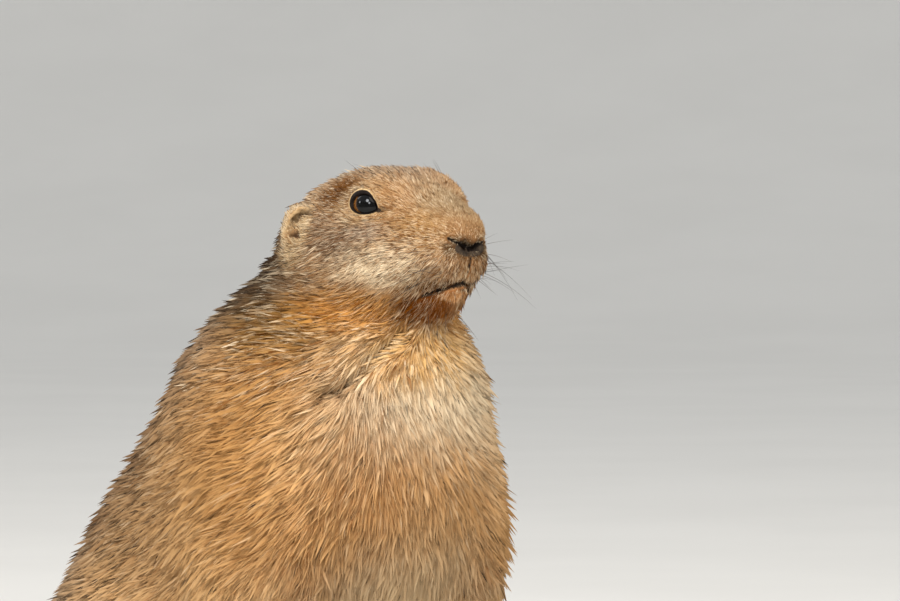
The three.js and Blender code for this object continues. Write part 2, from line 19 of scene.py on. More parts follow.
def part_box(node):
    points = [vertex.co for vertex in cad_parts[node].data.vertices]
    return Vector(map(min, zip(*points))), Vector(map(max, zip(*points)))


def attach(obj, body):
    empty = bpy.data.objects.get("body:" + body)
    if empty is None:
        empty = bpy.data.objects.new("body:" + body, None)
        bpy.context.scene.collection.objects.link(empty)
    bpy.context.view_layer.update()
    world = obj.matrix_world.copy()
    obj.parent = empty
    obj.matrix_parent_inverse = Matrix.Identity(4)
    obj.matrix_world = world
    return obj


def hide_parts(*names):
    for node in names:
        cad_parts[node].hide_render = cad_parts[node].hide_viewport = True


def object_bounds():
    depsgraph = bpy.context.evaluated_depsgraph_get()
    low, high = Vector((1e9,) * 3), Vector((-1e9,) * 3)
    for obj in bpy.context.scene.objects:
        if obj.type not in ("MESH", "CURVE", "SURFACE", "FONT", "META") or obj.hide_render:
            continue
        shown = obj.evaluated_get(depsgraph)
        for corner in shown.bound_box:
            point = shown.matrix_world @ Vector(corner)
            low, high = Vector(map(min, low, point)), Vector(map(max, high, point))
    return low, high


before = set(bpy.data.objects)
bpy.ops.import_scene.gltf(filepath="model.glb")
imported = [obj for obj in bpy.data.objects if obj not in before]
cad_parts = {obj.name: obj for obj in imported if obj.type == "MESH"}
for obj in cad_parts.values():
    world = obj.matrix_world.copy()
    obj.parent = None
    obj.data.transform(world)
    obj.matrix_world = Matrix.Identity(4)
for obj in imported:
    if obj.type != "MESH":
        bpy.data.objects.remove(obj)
cad_low, cad_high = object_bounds()

MM = 0.001
NOSE_UP = 174.0  # the tip of the nose above the floor
NOSE_AHEAD = 123.14  # and ahead of the middle of the model
HEAD_TURN = math.radians(5)
TURNS_ABOUT = 50.0  # from the nose back to the joint of the head on the neck
EYE_RADIUS = 5.6
EYE_LOOK = (1, -0.42, 0.16)  # the way that each eye faces
SEED = 11

EYES = ("eye_left", "eye_right")
FLESH = [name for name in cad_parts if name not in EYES]
BOTH = (1, -1)  # its left side, then its right

body_place = Matrix.Translation((0, -NOSE_AHEAD, 0))
head_place = (
    Matrix.Translation((0, TURNS_ABOUT - NOSE_AHEAD, NOSE_UP))
    @ Matrix.Rotation(HEAD_TURN, 4, "Z")
    @ Matrix.Translation((0, -TURNS_ABOUT, 0))
)


def placed(matrix, points):
    """Points in millimetres moved by a matrix, as an array."""
    m = np.array(matrix)
    return np.asarray(points, float) @ m[:3, :3].T + m[:3, 3]


def on_head(points):
    return placed(head_place, points) * MM


def on_body(points):
    return placed(body_place, points) * MM


def in_head(points):
    return placed(head_place.inverted(), np.asarray(points) / MM)


def in_body(points):
    return placed(body_place.inverted(), np.asarray(points) / MM)


def smooth_step(low, high, value):
    """0 up to the low end and 1 from the high end."""
    share = np.clip((value - low) / (high - low), 0, 1)
    return share * share * (3 - 2 * share)


def fades(near, far, value):
    """1 up to the near end and 0 from the far end."""
    return 1 - smooth_step(near, far, value)


def unit(rows):
    return rows / np.maximum(np.linalg.norm(rows, axis=1, keepdims=True), 1e-12)


def ripple(points, size, seed, waves=12):
    """Smooth noise from about -1 to 1 over points in millimetres."""
    rng = np.random.default_rng(seed)
    slopes = rng.normal(size=(waves, 3)) / size
    starts = rng.uniform(0, 2 * math.pi, waves)
    return np.sin(points @ slopes.T + starts).sum(1) / math.sqrt(waves / 2) / 1.6


# Studio
VIEW_AZIMUTH = math.radians(-40)
VIEW_RISE = math.radians(2)
VIEW_DISTANCE = 2.1
SIGHT_WIDE = 0.2592  # what the picture's width takes in at the animal
PIXEL = SIGHT_WIDE / 900
NOSE_IN_VIEW = (21, 60.5)  # pixels right of and above the picture's middle
SKY_COLOUR = (0.95, 0.97, 1.0, 1)
SKY_STRENGTH = 0.8
LIT_PLACE = Vector((0, 0, 0.12))  # what the lights face
# Each light: its azimuth and rise in degrees, distance, size across, watts and colour
LIGHTS = {
    "key": (-4, 50, 1.6, 1.6, 15, (1.0, 0.91, 0.78)),
    "rear": (192, 42, 1.7, 1.0, 7, (1.0, 0.96, 0.92)),
    "high glint": (-61, 36, 1.5, 0.48, 12, (0.95, 0.97, 1.0)),
    "middle glint": (-46, 22, 1.5, 0.3, 4.5, (0.95, 0.97, 1.0)),
    "side glint": (-118, 22, 1.5, 0.3, 2.5, (0.9, 0.95, 1.0)),
}
FLOOR_HALF = 3.2
FLOOR_RINGS = (0.02, 0.5, 1.5, FLOOR_HALF)  # the radii of the rings of its flat part
FLOOR_SIDES = 96
WALL_BEND = 3.0  # radius of the sweep from the floor up to the wall all round
BEND_STEPS = 24


def link_object(name, data):
    made = bpy.data.objects.new(name, data)
    bpy.context.scene.collection.objects.link(made)
    return made


def mesh_of(name, bm):
    mesh = bpy.data.meshes.new(name)
    bm.to_mesh(mesh)
    bm.free()
    return mesh


def smoothed(mesh):
    mesh.polygons.foreach_set("use_smooth", [True] * len(mesh.polygons))
    return mesh


def way_out(azimuth, rise):
    """The way from the model out to a thing round it. Azimuth 0 is in front of the model."""
    level = math.cos(rise)
    return Vector((math.sin(azimuth) * level, -math.cos(azimuth) * level, math.sin(rise)))


def stand(thing, place, away):
    """Puts a camera or a light at a place, so that it faces back along its way out."""
    thing.location = place
    thing.rotation_mode = "QUATERNION"
    thing.rotation_quaternion = (-away).to_track_quat("-Z", "Y")


def add_camera():
    away = way_out(VIEW_AZIMUTH, VIEW_RISE)
    right = Vector((math.cos(VIEW_AZIMUTH), math.sin(VIEW_AZIMUTH), 0))
    up = away.cross(right)
    nose = Vector(on_head([(0, 0, 0)])[0])
    middle = nose - right * NOSE_IN_VIEW[0] * PIXEL - up * NOSE_IN_VIEW[1] * PIXEL
    data = bpy.data.cameras.new("camera")
    data.lens = data.sensor_width * VIEW_DISTANCE / SIGHT_WIDE
    camera = link_object("camera", data)
    stand(camera, middle + away * VIEW_DISTANCE, away)
    bpy.context.scene.camera = camera


def add_lights():
    for name, (azimuth, rise, distance, size, watts, colour) in LIGHTS.items():
        away = way_out(math.radians(azimuth), math.radians(rise))
        data = bpy.data.lights.new(name, "AREA")
        data.shape = "DISK"
        data.size = size
        data.energy = watts
        data.color = colour
        stand(link_object(name, data), LIT_PLACE + away * distance, away)


def add_sky():
    world = bpy.data.worlds.new("studio")
    world.use_nodes = True
    sky = world.node_tree.nodes["Background"]
    sky.inputs["Color"].default_value = SKY_COLOUR
    sky.inputs["Strength"].default_value = SKY_STRENGTH
    bpy.context.scene.world = world
    bpy.context.scene.view_settings.view_transform = "Standard"


def add_floor():
    """A pale floor that sweeps up into a pale wall all round, spun from its section."""
    bm = bmesh.new()
    section = [bm.verts.new((out, 0, 0)) for out in FLOOR_RINGS]
    for step in range(1, BEND_STEPS + 1):
        turn = math.pi / 2 * step / BEND_STEPS
        out = FLOOR_HALF + WALL_BEND * math.sin(turn)
        section.append(bm.verts.new((out, 0, WALL_BEND * (1 - math.cos(turn)))))
    edges = [bm.edges.new(pair) for pair in zip(section, section[1:])]
    bmesh.ops.spin(
        bm,
        geom=[*section, *edges],
        cent=(0, 0, 0),
        axis=(0, 0, 1),
        angle=2 * math.pi,
        steps=FLOOR_SIDES,
        use_merge=True,
    )
    inner_ring = [edge for edge in bm.edges if edge.is_boundary and edge.verts[0].co.z < 0.01]
    bmesh.ops.holes_fill(bm, edges=inner_ring, sides=0)
    bmesh.ops.recalc_face_normals(bm, faces=bm.faces)
    inner = min(bm.faces, key=lambda face: face.calc_center_median().length)
    if inner.normal.z < 0:
        bmesh.ops.reverse_faces(bm, faces=bm.faces)
    mesh = smoothed(mesh_of("floor", bm))
    material, tree, shader = new_material("studio_floor", 0.9)
    grain = noise(tree, object_place(tree), 6.0)[0]
    pale = mottled(tree, grain, paint(217, 215, 210), paint(220, 218, 213))
    tree.links.new(pale, shader.inputs["Base Color"])
    mesh.materials.append(material)
    link_object("floor", mesh)


# Materials
VECTOR, FLOAT, COLOUR = "NodeSocketVector", "NodeSocketFloat", "NodeSocketColor"


def paint(red, green, blue):
    """A colour as the screen shows it, from 0 to 255, as Blender mixes it."""
    shares = [c / 255 for c in (red, green, blue)]
    return (*[s / 12.92 if s <= 0.04045 else ((s + 0.055) / 1.055) ** 2.4 for s in shares], 1)


def feed(tree, socket, value):
    if isinstance(value, bpy.types.NodeSocket):
        tree.links.new(value, socket)
    else:
        socket.default_value = value


def add_node(tree, kind, sockets=None, **settings):
    made = tree.nodes.new(kind)
    for name, value in settings.items():
        setattr(made, name, value)
    for key, value in (sockets or {}).items():
        feed(tree, made.inputs[key], value)
    return made


def maths(tree, operation, first, second=0.0):
    return add_node(tree, "ShaderNodeMath", {0: first, 1: second}, operation=operation).outputs[0]


def vector_maths(tree, operation, first, second=(0, 0, 0)):
    made = add_node(tree, "ShaderNodeVectorMath", {0: first, 1: second}, operation=operation)
    return made.outputs["Value" if operation in ("LENGTH", "DOT_PRODUCT") else 0]


def scaled(tree, vector, by):
    sockets = {0: vector, "Scale": by}
    return add_node(tree, "ShaderNodeVectorMath", sockets, operation="SCALE").outputs[0]


def colour_mix(tree, share, first, second, blend="MIX"):
    sockets = {"Factor": share, 6: first, 7: second}
    made = add_node(tree, "ShaderNodeMix", sockets, data_type="RGBA", blend_type=blend)
    return made.outputs[2]


def ramp(tree, value, low, high, to_low=0.0, to_high=1.0):
    sockets = {"Value": value, "From Min": low, "From Max": high, "To Min": to_low, "To Max": to_high}
    made = add_node(tree, "ShaderNodeMapRange", sockets, interpolation_type="SMOOTHSTEP")
    return made.outputs["Result"]


def noise(tree, vector, scale, detail=3.0):
    """Smooth noise: its value, then its colour."""
    sockets = {"Vector": vector, "Scale": scale, "Detail": detail, "Roughness": 0.55}
    return add_node(tree, "ShaderNodeTexNoise", sockets).outputs


def mottled(tree, value, first, second):
    """Two colours that noise turns into each other."""
    return colour_mix(tree, ramp(tree, value, 0.3, 0.7), first, second)


def new_group(name, inputs, outputs):
    tree = bpy.data.node_groups.new(name, "ShaderNodeTree")
    for way, sockets in (("INPUT", inputs), ("OUTPUT", outputs)):
        for label, kind in sockets:
            tree.interface.new_socket(label, in_out=way, socket_type=kind)
    return tree, tree.nodes.new("NodeGroupInput").outputs, tree.nodes.new("NodeGroupOutput").inputs


def place_group(tree, group, sockets, label=""):
    return add_node(tree, "ShaderNodeGroup", sockets, node_tree=group, label=label).outputs


def new_material(name, roughness, **sockets):
    material = bpy.data.materials.new(name)
    material.use_nodes = True
    tree = material.node_tree
    shader = tree.nodes["Principled BSDF"]
    shader.inputs["Roughness"].default_value = roughness
    for label, value in sockets.items():
        shader.inputs[label.replace("_", " ")].default_value = value
    return material, tree, shader


def object_place(tree):
    return tree.nodes.new("ShaderNodeTexCoord").outputs["Object"]


def attribute(tree, name):
    return add_node(tree, "ShaderNodeAttribute", attribute_name=name).outputs


def bump(tree, shader, height, strength, distance):
    sockets = {"Height": height, "Strength": strength, "Distance": distance * MM}
    tree.links.new(add_node(tree, "ShaderNodeBump", sockets).outputs[0], shader.inputs["Normal"])


def make_patch_group():
    """A soft egg-shaped patch: 1 inside it and 0 outside."""
    tree, given, out = new_group(
        "marking_patch",
        [("Place", VECTOR), ("Centre", VECTOR), ("Half", VECTOR), ("Soft", FLOAT)],
        [("Mask", FLOAT)],
    )
    off = vector_maths(tree, "SUBTRACT", given["Place"], given["Centre"])
    far = vector_maths(tree, "LENGTH", vector_maths(tree, "DIVIDE", off, given["Half"]))
    outer = maths(tree, "ADD", 1.0, given["Soft"])
    inner = maths(tree, "SUBTRACT", 1.0, given["Soft"])
    tree.links.new(ramp(tree, far, outer, inner), out["Mask"])
    return tree


# Each marking: the centre and half sizes of its patch in millimetres, how soft its edge is,
# how strong it is, and its colour. Later ones lie over earlier ones.
BODY_MARKINGS = (
    ("flank", (46, 78, 70), (40, 50, 62), 0.5, 1.0, (208, 164, 112)),
    ("shoulder", (38, 42, 116), (24, 34, 44), 0.6, 1.0, (194, 144, 86)),
    ("front of the shoulder", (30, 26, 108), (14, 16, 22), 0.7, 0.8, (222, 180, 126)),
    ("side of the neck", (32, 44, 150), (16, 24, 10), 0.7, 0.9, (146, 105, 50)),
    ("back", (4, 118, 110), (46, 70, 60), 0.5, 0.95, (124, 94, 66)),
    ("nape", (12, 66, 162), (30, 24, 18), 0.6, 0.95, (70, 52, 34)),
    ("chest", (7, 6, 120), (36, 26, 30), 0.75, 1.0, (246, 224, 190)),
    ("throat", (0, 14, 142), (24, 20, 12), 0.7, 0.9, (226, 176, 106)),
    ("lower chest", (4, 12, 96), (36, 24, 22), 0.7, 0.9, (200, 148, 90)),
    ("belly", (0, 30, 40), (30, 50, 44), 0.5, 1.0, (228, 196, 152)),
    ("foreleg", (34, 44, 40), (16, 20, 40), 0.4, 0.8, (220, 182, 132)),
    ("forefoot", (30, 26, 0), (20, 26, 18), 0.4, 1.0, (224, 194, 150)),
    ("hindfoot", (44, 80, 0), (20, 46, 16), 0.4, 1.0, (220, 190, 146)),
    ("tail", (0, 214, 8), (40, 50, 20), 0.4, 0.8, (192, 148, 102)),
    ("tail tip", (-34, 246, 6), (44, 38, 30), 0.25, 1.0, (44, 34, 28)),
)
HEAD_MARKINGS = (
    ("face", (0, 26, 2), (32, 34, 28), 0.35, 1.0, (192, 149, 100)),
    ("forehead", (4.5, 17, 12), (8, 7, 6), 0.6, 0.7, (212, 172, 130)),
    ("crown", (0, 40, 24), (18, 26, 14), 0.5, 0.9, (166, 140, 114)),
    ("bridge of the nose", (0, 12, 9), (10, 14, 8), 0.6, 1.0, (166, 139, 104)),
    ("side of the nose", (10, 12, 3), (5, 8, 6), 0.6, 0.8, (190, 146, 92)),
    ("behind the brow", (17, 37, 14), (6, 9, 6), 0.6, 1.0, (118, 72, 20)),
    ("behind the eye", (21, 40, 1), (7, 13, 8), 0.6, 0.85, (140, 106, 76)),
    ("cheek patch", (21.5, 31, -2), (5.5, 7, 6), 0.7, 0.9, (122, 90, 64)),
    ("under the eye", (18, 25, 2), (5, 7, 3), 0.6, 0.8, (184, 160, 136)),
    ("cheek", (18, 20, -8), (10, 13, 6), 0.6, 1.0, (240, 215, 178)),
    ("lip", (7, 5, -9), (7, 8, 5), 0.6, 0.9, (178, 136, 94)),
    ("jaw", (16, 32, -21), (16, 18, 7), 0.6, 0.85, (206, 144, 68)),
    ("ear", (23, 50, 1), (7, 8, 10), 0.3, 0.85, (212, 180, 134)),
    ("eyelids", (17, 28, 9.5), (8, 7.4, 6.6), 0.25, 0.3, (224, 194, 148)),
    ("chin", (6, 12, -20), (9, 10, 6), 0.5, 1.0, (124, 66, 4)),
    ("round the nostrils", (2.5, 0.5, -2.2), (5.8, 4, 3), 0.7, 0.9, (62, 52, 38)),
    ("lip edge", (6, 5, -13.4), (8, 7, 1.8), 0.6, 0.8, (104, 66, 32)),
    ("lower lip", (3, 3.5, -16.2), (6, 4, 1.4), 0.5, 0.7, (206, 146, 88)),
)
ONE_SIDED = ("chest", "tail", "tail tip")  # the others are the same on both sides
BASE_FUR = (168, 142, 116)
BODY_SWING, HEAD_SWING = 16.0, 5.0  # how far the edges of the markings wander
RAGGED = 0.22  # how closely the bends of those edges follow each other


def make_markings_group(patch):
    """The animal's markings, the same on its skin and on every hair."""
    sockets = [("Object place", VECTOR)], [("Colour", COLOUR)]
    tree, given, out = new_group("prairie_dog_markings", *sockets)
    in_mm = scaled(tree, given["Object place"], 1 / MM)
    drift = vector_maths(tree, "SUBTRACT", noise(tree, in_mm, RAGGED, 2.0)["Color"], (0.5, 0.5, 0.5))
    colour = paint(*BASE_FUR)
    for matrix, markings, swing in (
        (body_place, BODY_MARKINGS, BODY_SWING),
        (head_place, HEAD_MARKINGS, HEAD_SWING),
    ):
        moved = matrix.inverted()
        sockets = {"Vector": in_mm, "Location": moved.translation, "Rotation": moved.to_euler()}
        whole = add_node(tree, "ShaderNodeMapping", sockets).outputs[0]
        parts = add_node(tree, "ShaderNodeSeparateXYZ", {0: whole}).outputs
        sockets = {0: maths(tree, "ABSOLUTE", parts[0]), 1: parts[1], 2: parts[2]}
        halved = add_node(tree, "ShaderNodeCombineXYZ", sockets).outputs[0]
        shaken = scaled(tree, drift, swing)
        paired = vector_maths(tree, "ADD", halved, shaken)
        signed = vector_maths(tree, "ADD", whole, shaken)
        for name, centre, half, soft, strength, shade in markings:
            place = signed if name in ONE_SIDED else paired
            sockets = {"Place": place, "Centre": centre, "Half": half, "Soft": soft}
            mask = place_group(tree, patch, sockets, name)["Mask"]
            share = maths(tree, "MULTIPLY", mask, strength)
            colour = colour_mix(tree, share, colour, paint(*shade))
    tree.links.new(colour, out["Colour"])
    return tree


ROOT_SHADE = paint(182, 158, 134)  # what darkens the marking's colour at the root of a tuft
DEEP_SHADE = paint(176, 150, 124)  # and on the darkest tufts
LIGHT_HAIR = paint(246, 226, 192)  # what the lightest tufts turn to
CREAM_END = paint(243, 223, 190)
DARK_END = paint(48, 38, 32)
UNDER_SHADE = paint(196, 178, 164)  # what darkens the marking's colour on the skin
# painted shade for the clefts of the ears and the crease of the throat
CLEFT_PAINTED_SHADE = paint(84, 60, 40)
BARE_SKIN = paint(20, 11, 6)
# How bare and dark each place of the skin is, how pink, how pale, and how much painted shade it gets
# in a cleft of an ear or the crease of the throat
SKIN_MARKS = ("bare", "lip", "pale", "cleft")


def coat_material(markings):
    """The hairs: dark at the root, paler further out, some with a dark or a cream end."""
    material, tree, shader = new_material("prairie_dog_fur", 0.75, Specular_IOR_Level=0.06)
    marked = place_group(tree, markings, {"Object place": object_place(tree)})["Colour"]
    strand = attribute(tree, "strand")
    parts = add_node(tree, "ShaderNodeSeparateColor", {0: strand["Color"]}).outputs
    # tone and dark also carry the painted shade of the clefts of the ears and the crease of the
    # throat
    along, tone, dark, cream = parts[0], parts[1], parts[2], strand["Alpha"]
    root = colour_mix(tree, 1.0, marked, ROOT_SHADE, "MULTIPLY")
    body = colour_mix(tree, ramp(tree, along, 0.0, 0.5), root, marked)
    deep = colour_mix(tree, 1.0, body, DEEP_SHADE, "MULTIPLY")
    toned = colour_mix(tree, ramp(tree, tone, 0.5, 0.0), body, deep)
    lit = colour_mix(tree, 0.5, toned, LIGHT_HAIR)
    varied = colour_mix(tree, ramp(tree, tone, 0.5, 1.1), toned, lit)
    paled = maths(tree, "MULTIPLY", ramp(tree, along, 0.25, 0.7), cream)
    creamy = colour_mix(tree, paled, varied, CREAM_END)
    tipped = maths(tree, "MULTIPLY", ramp(tree, along, 0.25, 0.65), dark)
    tree.links.new(colour_mix(tree, tipped, creamy, DARK_END), shader.inputs["Base Color"])
    return material


def skin_material(markings):
    """The under-fur that shows between the hairs, and the bare skin of the face."""
    material, tree, shader = new_material("prairie_dog_skin", 0.8, Specular_IOR_Level=0.1)
    place = object_place(tree)
    marked = place_group(tree, markings, {"Object place": place})["Colour"]
    under = colour_mix(tree, 1.0, marked, UNDER_SHADE, "MULTIPLY")
    grain = noise(tree, place, 900.0)[0]
    soft = mottled(tree, grain, paint(44, 36, 30), paint(72, 60, 48))
    pink = mottled(tree, grain, paint(150, 98, 56), paint(196, 136, 84))
    olive = mottled(tree, grain, paint(170, 140, 98), paint(214, 184, 138))
    bare, lip, pale, cleft = (attribute(tree, name)["Fac"] for name in SKIN_MARKS)
    # painted shade in the clefts of the ears and the crease of the throat
    colour = colour_mix(tree, cleft, under, CLEFT_PAINTED_SHADE)
    colour = colour_mix(tree, pale, colour, olive)
    colour = colour_mix(tree, ramp(tree, bare, 0.0, 0.45), colour, soft)
    colour = colour_mix(tree, lip, colour, pink)
    colour = colour_mix(tree, ramp(tree, bare, 0.5, 1.0), colour, BARE_SKIN)
    tree.links.new(colour, shader.inputs["Base Color"])
    tree.links.new(ramp(tree, bare, 0.2, 1.0, 0.85, 0.5), shader.inputs["Roughness"])
    bump(tree, shader, noise(tree, place, 1400.0, 4.0)[0], 0.5, 0.25)
    return material


# The skin
SKIN_GRAIN = 1.15  # edge length of the skin's faces
NODE_GAP = 0.3  # between neighbouring solids
OVERLAP = 0.25  # how far past the middle of that gap each solid is grown
RELAX_ROUNDS = 14
RELAX_STEPS = (0.6, -0.62)  # a step inwards and one back out, so that thick parts keep their size


def numbers(rows, key, width, kind=np.float32):
    """What a mesh holds under a name for each of its rows, as an array."""
    flat = np.empty(len(rows) * width, kind)
    rows.foreach_get(key, flat)
    return flat.reshape(-1, width)


def places_of(mesh):
    return numbers(mesh.vertices, "co", 3).astype(float)


def normals_of(mesh):
    return numbers(mesh.vertex_normals, "vector", 3).astype(float)


def move_to(mesh, places):
    mesh.vertices.foreach_set("co", places.astype(np.float32).ravel())
    mesh.update()


def merged_flesh():
    """The solids of the flesh and the eyes, each grown until it reaches into its neighbours."""
    whole = bmesh.new()
    grow = (NODE_GAP * 0.5 + OVERLAP) * MM
    for name in (*FLESH, *EYES):
        piece = bmesh.new()
        piece.from_mesh(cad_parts[name].data)
        bmesh.ops.remove_doubles(piece, verts=piece.verts, dist=1e-6)
        bmesh.ops.recalc_face_normals(piece, faces=piece.faces)
        piece.normal_update()
        for vert in piece.verts:
            vert.co += vert.normal * grow
        mesh = mesh_of(f"grown_{name}", piece)
        whole.from_mesh(mesh)
        bpy.data.meshes.remove(mesh)
    return mesh_of("merged_flesh", whole)


def remeshed(mesh, size):
    """One closed surface over everything in the mesh."""
    holder = link_object("remesh_holder", mesh)
    modifier = holder.modifiers.new("one_surface", "REMESH")
    modifier.mode = "VOXEL"
    modifier.voxel_size = size * MM
    graph = bpy.context.evaluated_depsgraph_get()
    made = bpy.data.meshes.new_from_object(holder.evaluated_get(graph))
    bpy.data.objects.remove(holder)
    bpy.data.meshes.remove(mesh)
    return made


def relax(mesh, strength):
    """Smooths the facets of the solids away."""
    a, b = numbers(mesh.edges, "vertices", 2, np.int32).T
    co = places_of(mesh)
    count = np.bincount(a, minlength=len(co)) + np.bincount(b, minlength=len(co))
    for share in RELAX_STEPS * RELAX_ROUNDS:
        total = np.empty_like(co)
        for axis in range(3):
            near = np.bincount(a, co[b, axis], len(co)) + np.bincount(b, co[a, axis], len(co))
            total[:, axis] = near / count
        co += (total - co) * (share * strength[:, None])
    move_to(mesh, co)


# How the coat lies: a place, the way the hair points, its length in millimetres and how many
# degrees its tips stand off. Places and ways are (side, back, up), the same on both sides
# except on the chest.
HEAD_LIE = (
    ((0, 1, 4), (0.1, 1.0, 0.7), 1.1, 14),
    ((3, 0, 0), (0.2, 0.6, 0.9), 0.9, 14),
    ((0, 8, 9), (0, 1.0, 0.35), 1.7, 13),
    ((0, 25, 19), (0, 1.0, 0.15), 2.6, 12),
    ((0, 45, 20), (0, 1.0, -0.25), 3.6, 15),
    ((0, 62, 12), (0, 0.8, -0.6), 6.0, 18),
    ((7, 4, 2), (0.5, 1.0, 0.1), 1.3, 13),
    ((9, 8, 0), (0.4, 1.0, -0.1), 1.9, 13),
    ((2, 0.5, -5), (0.25, 0.1, -1.0), 1.1, 15),
    ((2.5, 0, -9), (0.25, 0.05, -1.0), 2.4, 17),
    ((6.5, 2, -7.5), (0.45, 0.35, -0.9), 2.8, 17),
    ((9.5, 6, -8), (0.4, 0.7, -0.6), 3.0, 16),
    ((8, 5, -12), (0.4, 0.5, -0.85), 2.6, 17),
    ((3, 1, -12.5), (0.25, 0.1, -1.0), 1.6, 16),
    ((11.5, 9, -14.5), (0.3, 0.75, -0.75), 3.6, 16),
    ((3, 3, -17), (0.2, 0.3, -1.0), 2.4, 20),
    ((17, 26, -2), (0.1, 1.0, -0.25), 2.9, 13),
    ((13, 20, 9), (0.3, 1.0, 0.1), 2.0, 12),
    ((13, 34, 19), (0.1, 1.0, 0.15), 2.6, 12),
    ((20, 38, 7), (0, 1.0, -0.05), 2.9, 12),
    ((16, 15, -6), (0.25, 1.0, -0.25), 2.8, 13),
    ((23, 40, -6), (0, 1.0, -0.22), 4.0, 14),
    ((18, 30, -18), (0.15, 0.95, -0.4), 4.8, 16),
    ((0, 8, -21), (0, 0.55, -0.85), 4.2, 22),
    ((6, 8, -19), (0.2, 0.45, -0.9), 3.6, 20),
    ((11, 16, -21), (0.25, 0.8, -0.6), 4.4, 20),
    ((20, 58, -8), (0, 0.9, -0.5), 5.6, 17),
    ((23, 50, 2), (0.1, 0.5, 0.6), 1.5, 16),
)
BODY_LIE = (
    ((30, 38, 148), (0.1, 0.9, -0.4), 7.0, 17),
    ((33, 56, 147), (0.1, 0.9, -0.42), 7.0, 17),
    ((39, 72, 132), (0.1, 0.85, -0.5), 6.4, 18),
    ((43, 48, 116), (0.25, 0.9, -0.42), 8.6, 17),
    ((36, 36, 126), (0.4, 0.8, -0.45), 8.4, 17),
    ((47, 45, 90), (0.15, 0.75, -0.65), 9.0, 18),
    ((0, 80, 150), (0, 0.75, -0.65), 7.0, 18),
    ((30, 90, 128), (0.1, 0.7, -0.7), 6.6, 19),
    ((0, 140, 90), (0, 0.55, -0.85), 7.5, 19),
    ((46, 90, 78), (0.1, 0.85, -0.55), 8.0, 19),
    ((0, 165, 40), (0, 0.8, -0.6), 9.0, 20),
    ((54, 112, 40), (0, 0.8, -0.6), 8.0, 18),
    ((44, 84, 16), (0.1, 0.1, -0.9), 6.0, 16),
    ((0, 30, 60), (0, 0.2, -1.0), 8.0, 20),
    ((40, 48, 66), (0.1, 0.4, -0.9), 6.5, 17),
    ((33, 44, 34), (0, 0.1, -1.0), 4.2, 15),
    ((30, 36, 14), (0, -0.5, -0.8), 2.6, 13),
    ((29, 24, 6), (0, -1.0, -0.2), 1.8, 12),
    ((41, 100, 10), (0.1, -0.9, -0.2), 3.2, 14),
    ((48, 66, 6), (0.15, -1.0, -0.1), 2.0, 12),
    ((0, 172, 14), (0, 1.0, 0.1), 10.0, 18),
    ((0, 200, 12), (0, 1.0, 0), 13.0, 17),
    ((-24, 236, 10), (-0.5, 1.0, 0), 14.0, 15),
)
CHEST_LIE = (
    ((-9, 18, 147), (-0.5, 0.7, -0.45), 6.0, 15),
    ((-19, 20, 141), (-0.62, 0.55, -0.45), 7.0, 15),
    ((-27, 26, 134), (-0.62, 0.6, -0.42), 8.0, 15),
    ((-20, 18, 130), (-0.15, -0.1, -1.0), 8.5, 20),
    ((-28, 24, 122), (-0.5, 0.35, -0.8), 9.0, 19),
    ((-10, 14, 134), (0.1, -0.1, -1.0), 7.0, 20),
    ((0, 14, 140), (0.25, -0.1, -1.0), 6.0, 18),
    ((-4, 12, 126), (0.3, -0.1, -0.9), 8.5, 21),
    ((16, 18, 141), (0.7, 0.2, -0.65), 6.5, 18),
    ((24, 22, 128), (0.75, 0.3, -0.6), 8.0, 20),
    ((20, 18, 113), (0.7, 0.15, -0.7), 9.0, 22),
    ((6, 12, 110), (0.35, -0.1, -0.95), 9.0, 22),
    ((-10, 14, 104), (-0.05, -0.1, -1.0), 9.0, 22),
    ((-26, 18, 106), (-0.4, 0.1, -0.9), 9.0, 21),
    ((-36, 30, 108), (-0.55, 0.6, -0.6), 9.0, 19),
    ((26, 18, 92), (0.5, 0, -0.85), 9.0, 22),
    ((-26, 18, 88), (-0.4, 0, -0.9), 9.0, 21),
    ((0, 11, 88), (0.1, -0.1, -1.0), 9.5, 22),
)
GUIDE_BLEND = 20  # square millimetres: a larger one blends the guides more
CREASE = ((-6, 17, 148), (-12, 18.5, 143), (-18, 19.6, 138), (-23, 22, 133), (-28, 25, 130))


def lie_guides():
    """The guides of the coat in the model's own frame: places, ways, lengths and lifts."""
    rows = []
    for matrix, table in ((head_place, HEAD_LIE), (body_place, BODY_LIE), (body_place, CHEST_LIE)):
        for (side, back, up), way, length, lift in table:
            paired = side > 0 and table is not CHEST_LIE
            for sign in BOTH if paired else (1,):
                spot = placed(matrix, [(side * sign, back, up)])[0]
                turned = np.array(matrix)[:3, :3] @ (way[0] * sign, way[1], way[2])
                rows.append((*spot, *turned / np.linalg.norm(turned), length, lift))
    return np.array(rows)


GUIDES = lie_guides()


def coat_at(places):
    """The coat's way, length in millimetres and lift in degrees at places in metres."""
    spots = places / MM
    total = np.zeros((len(spots), 5))
    weights = np.zeros(len(spots))
    for guide in GUIDES:
        far = ((spots - guide[:3]) ** 2).sum(1)
        weight = 1 / (far + GUIDE_BLEND) ** 2
        total += weight[:, None] * guide[3:]
        weights += weight
    total /= weights[:, None]
    return unit(total[:, :3]), total[:, 3], total[:, 4]


def coat_depth(places):
    _, length, lift = coat_at(places)
    return length * np.sin(np.radians(lift)) * MM


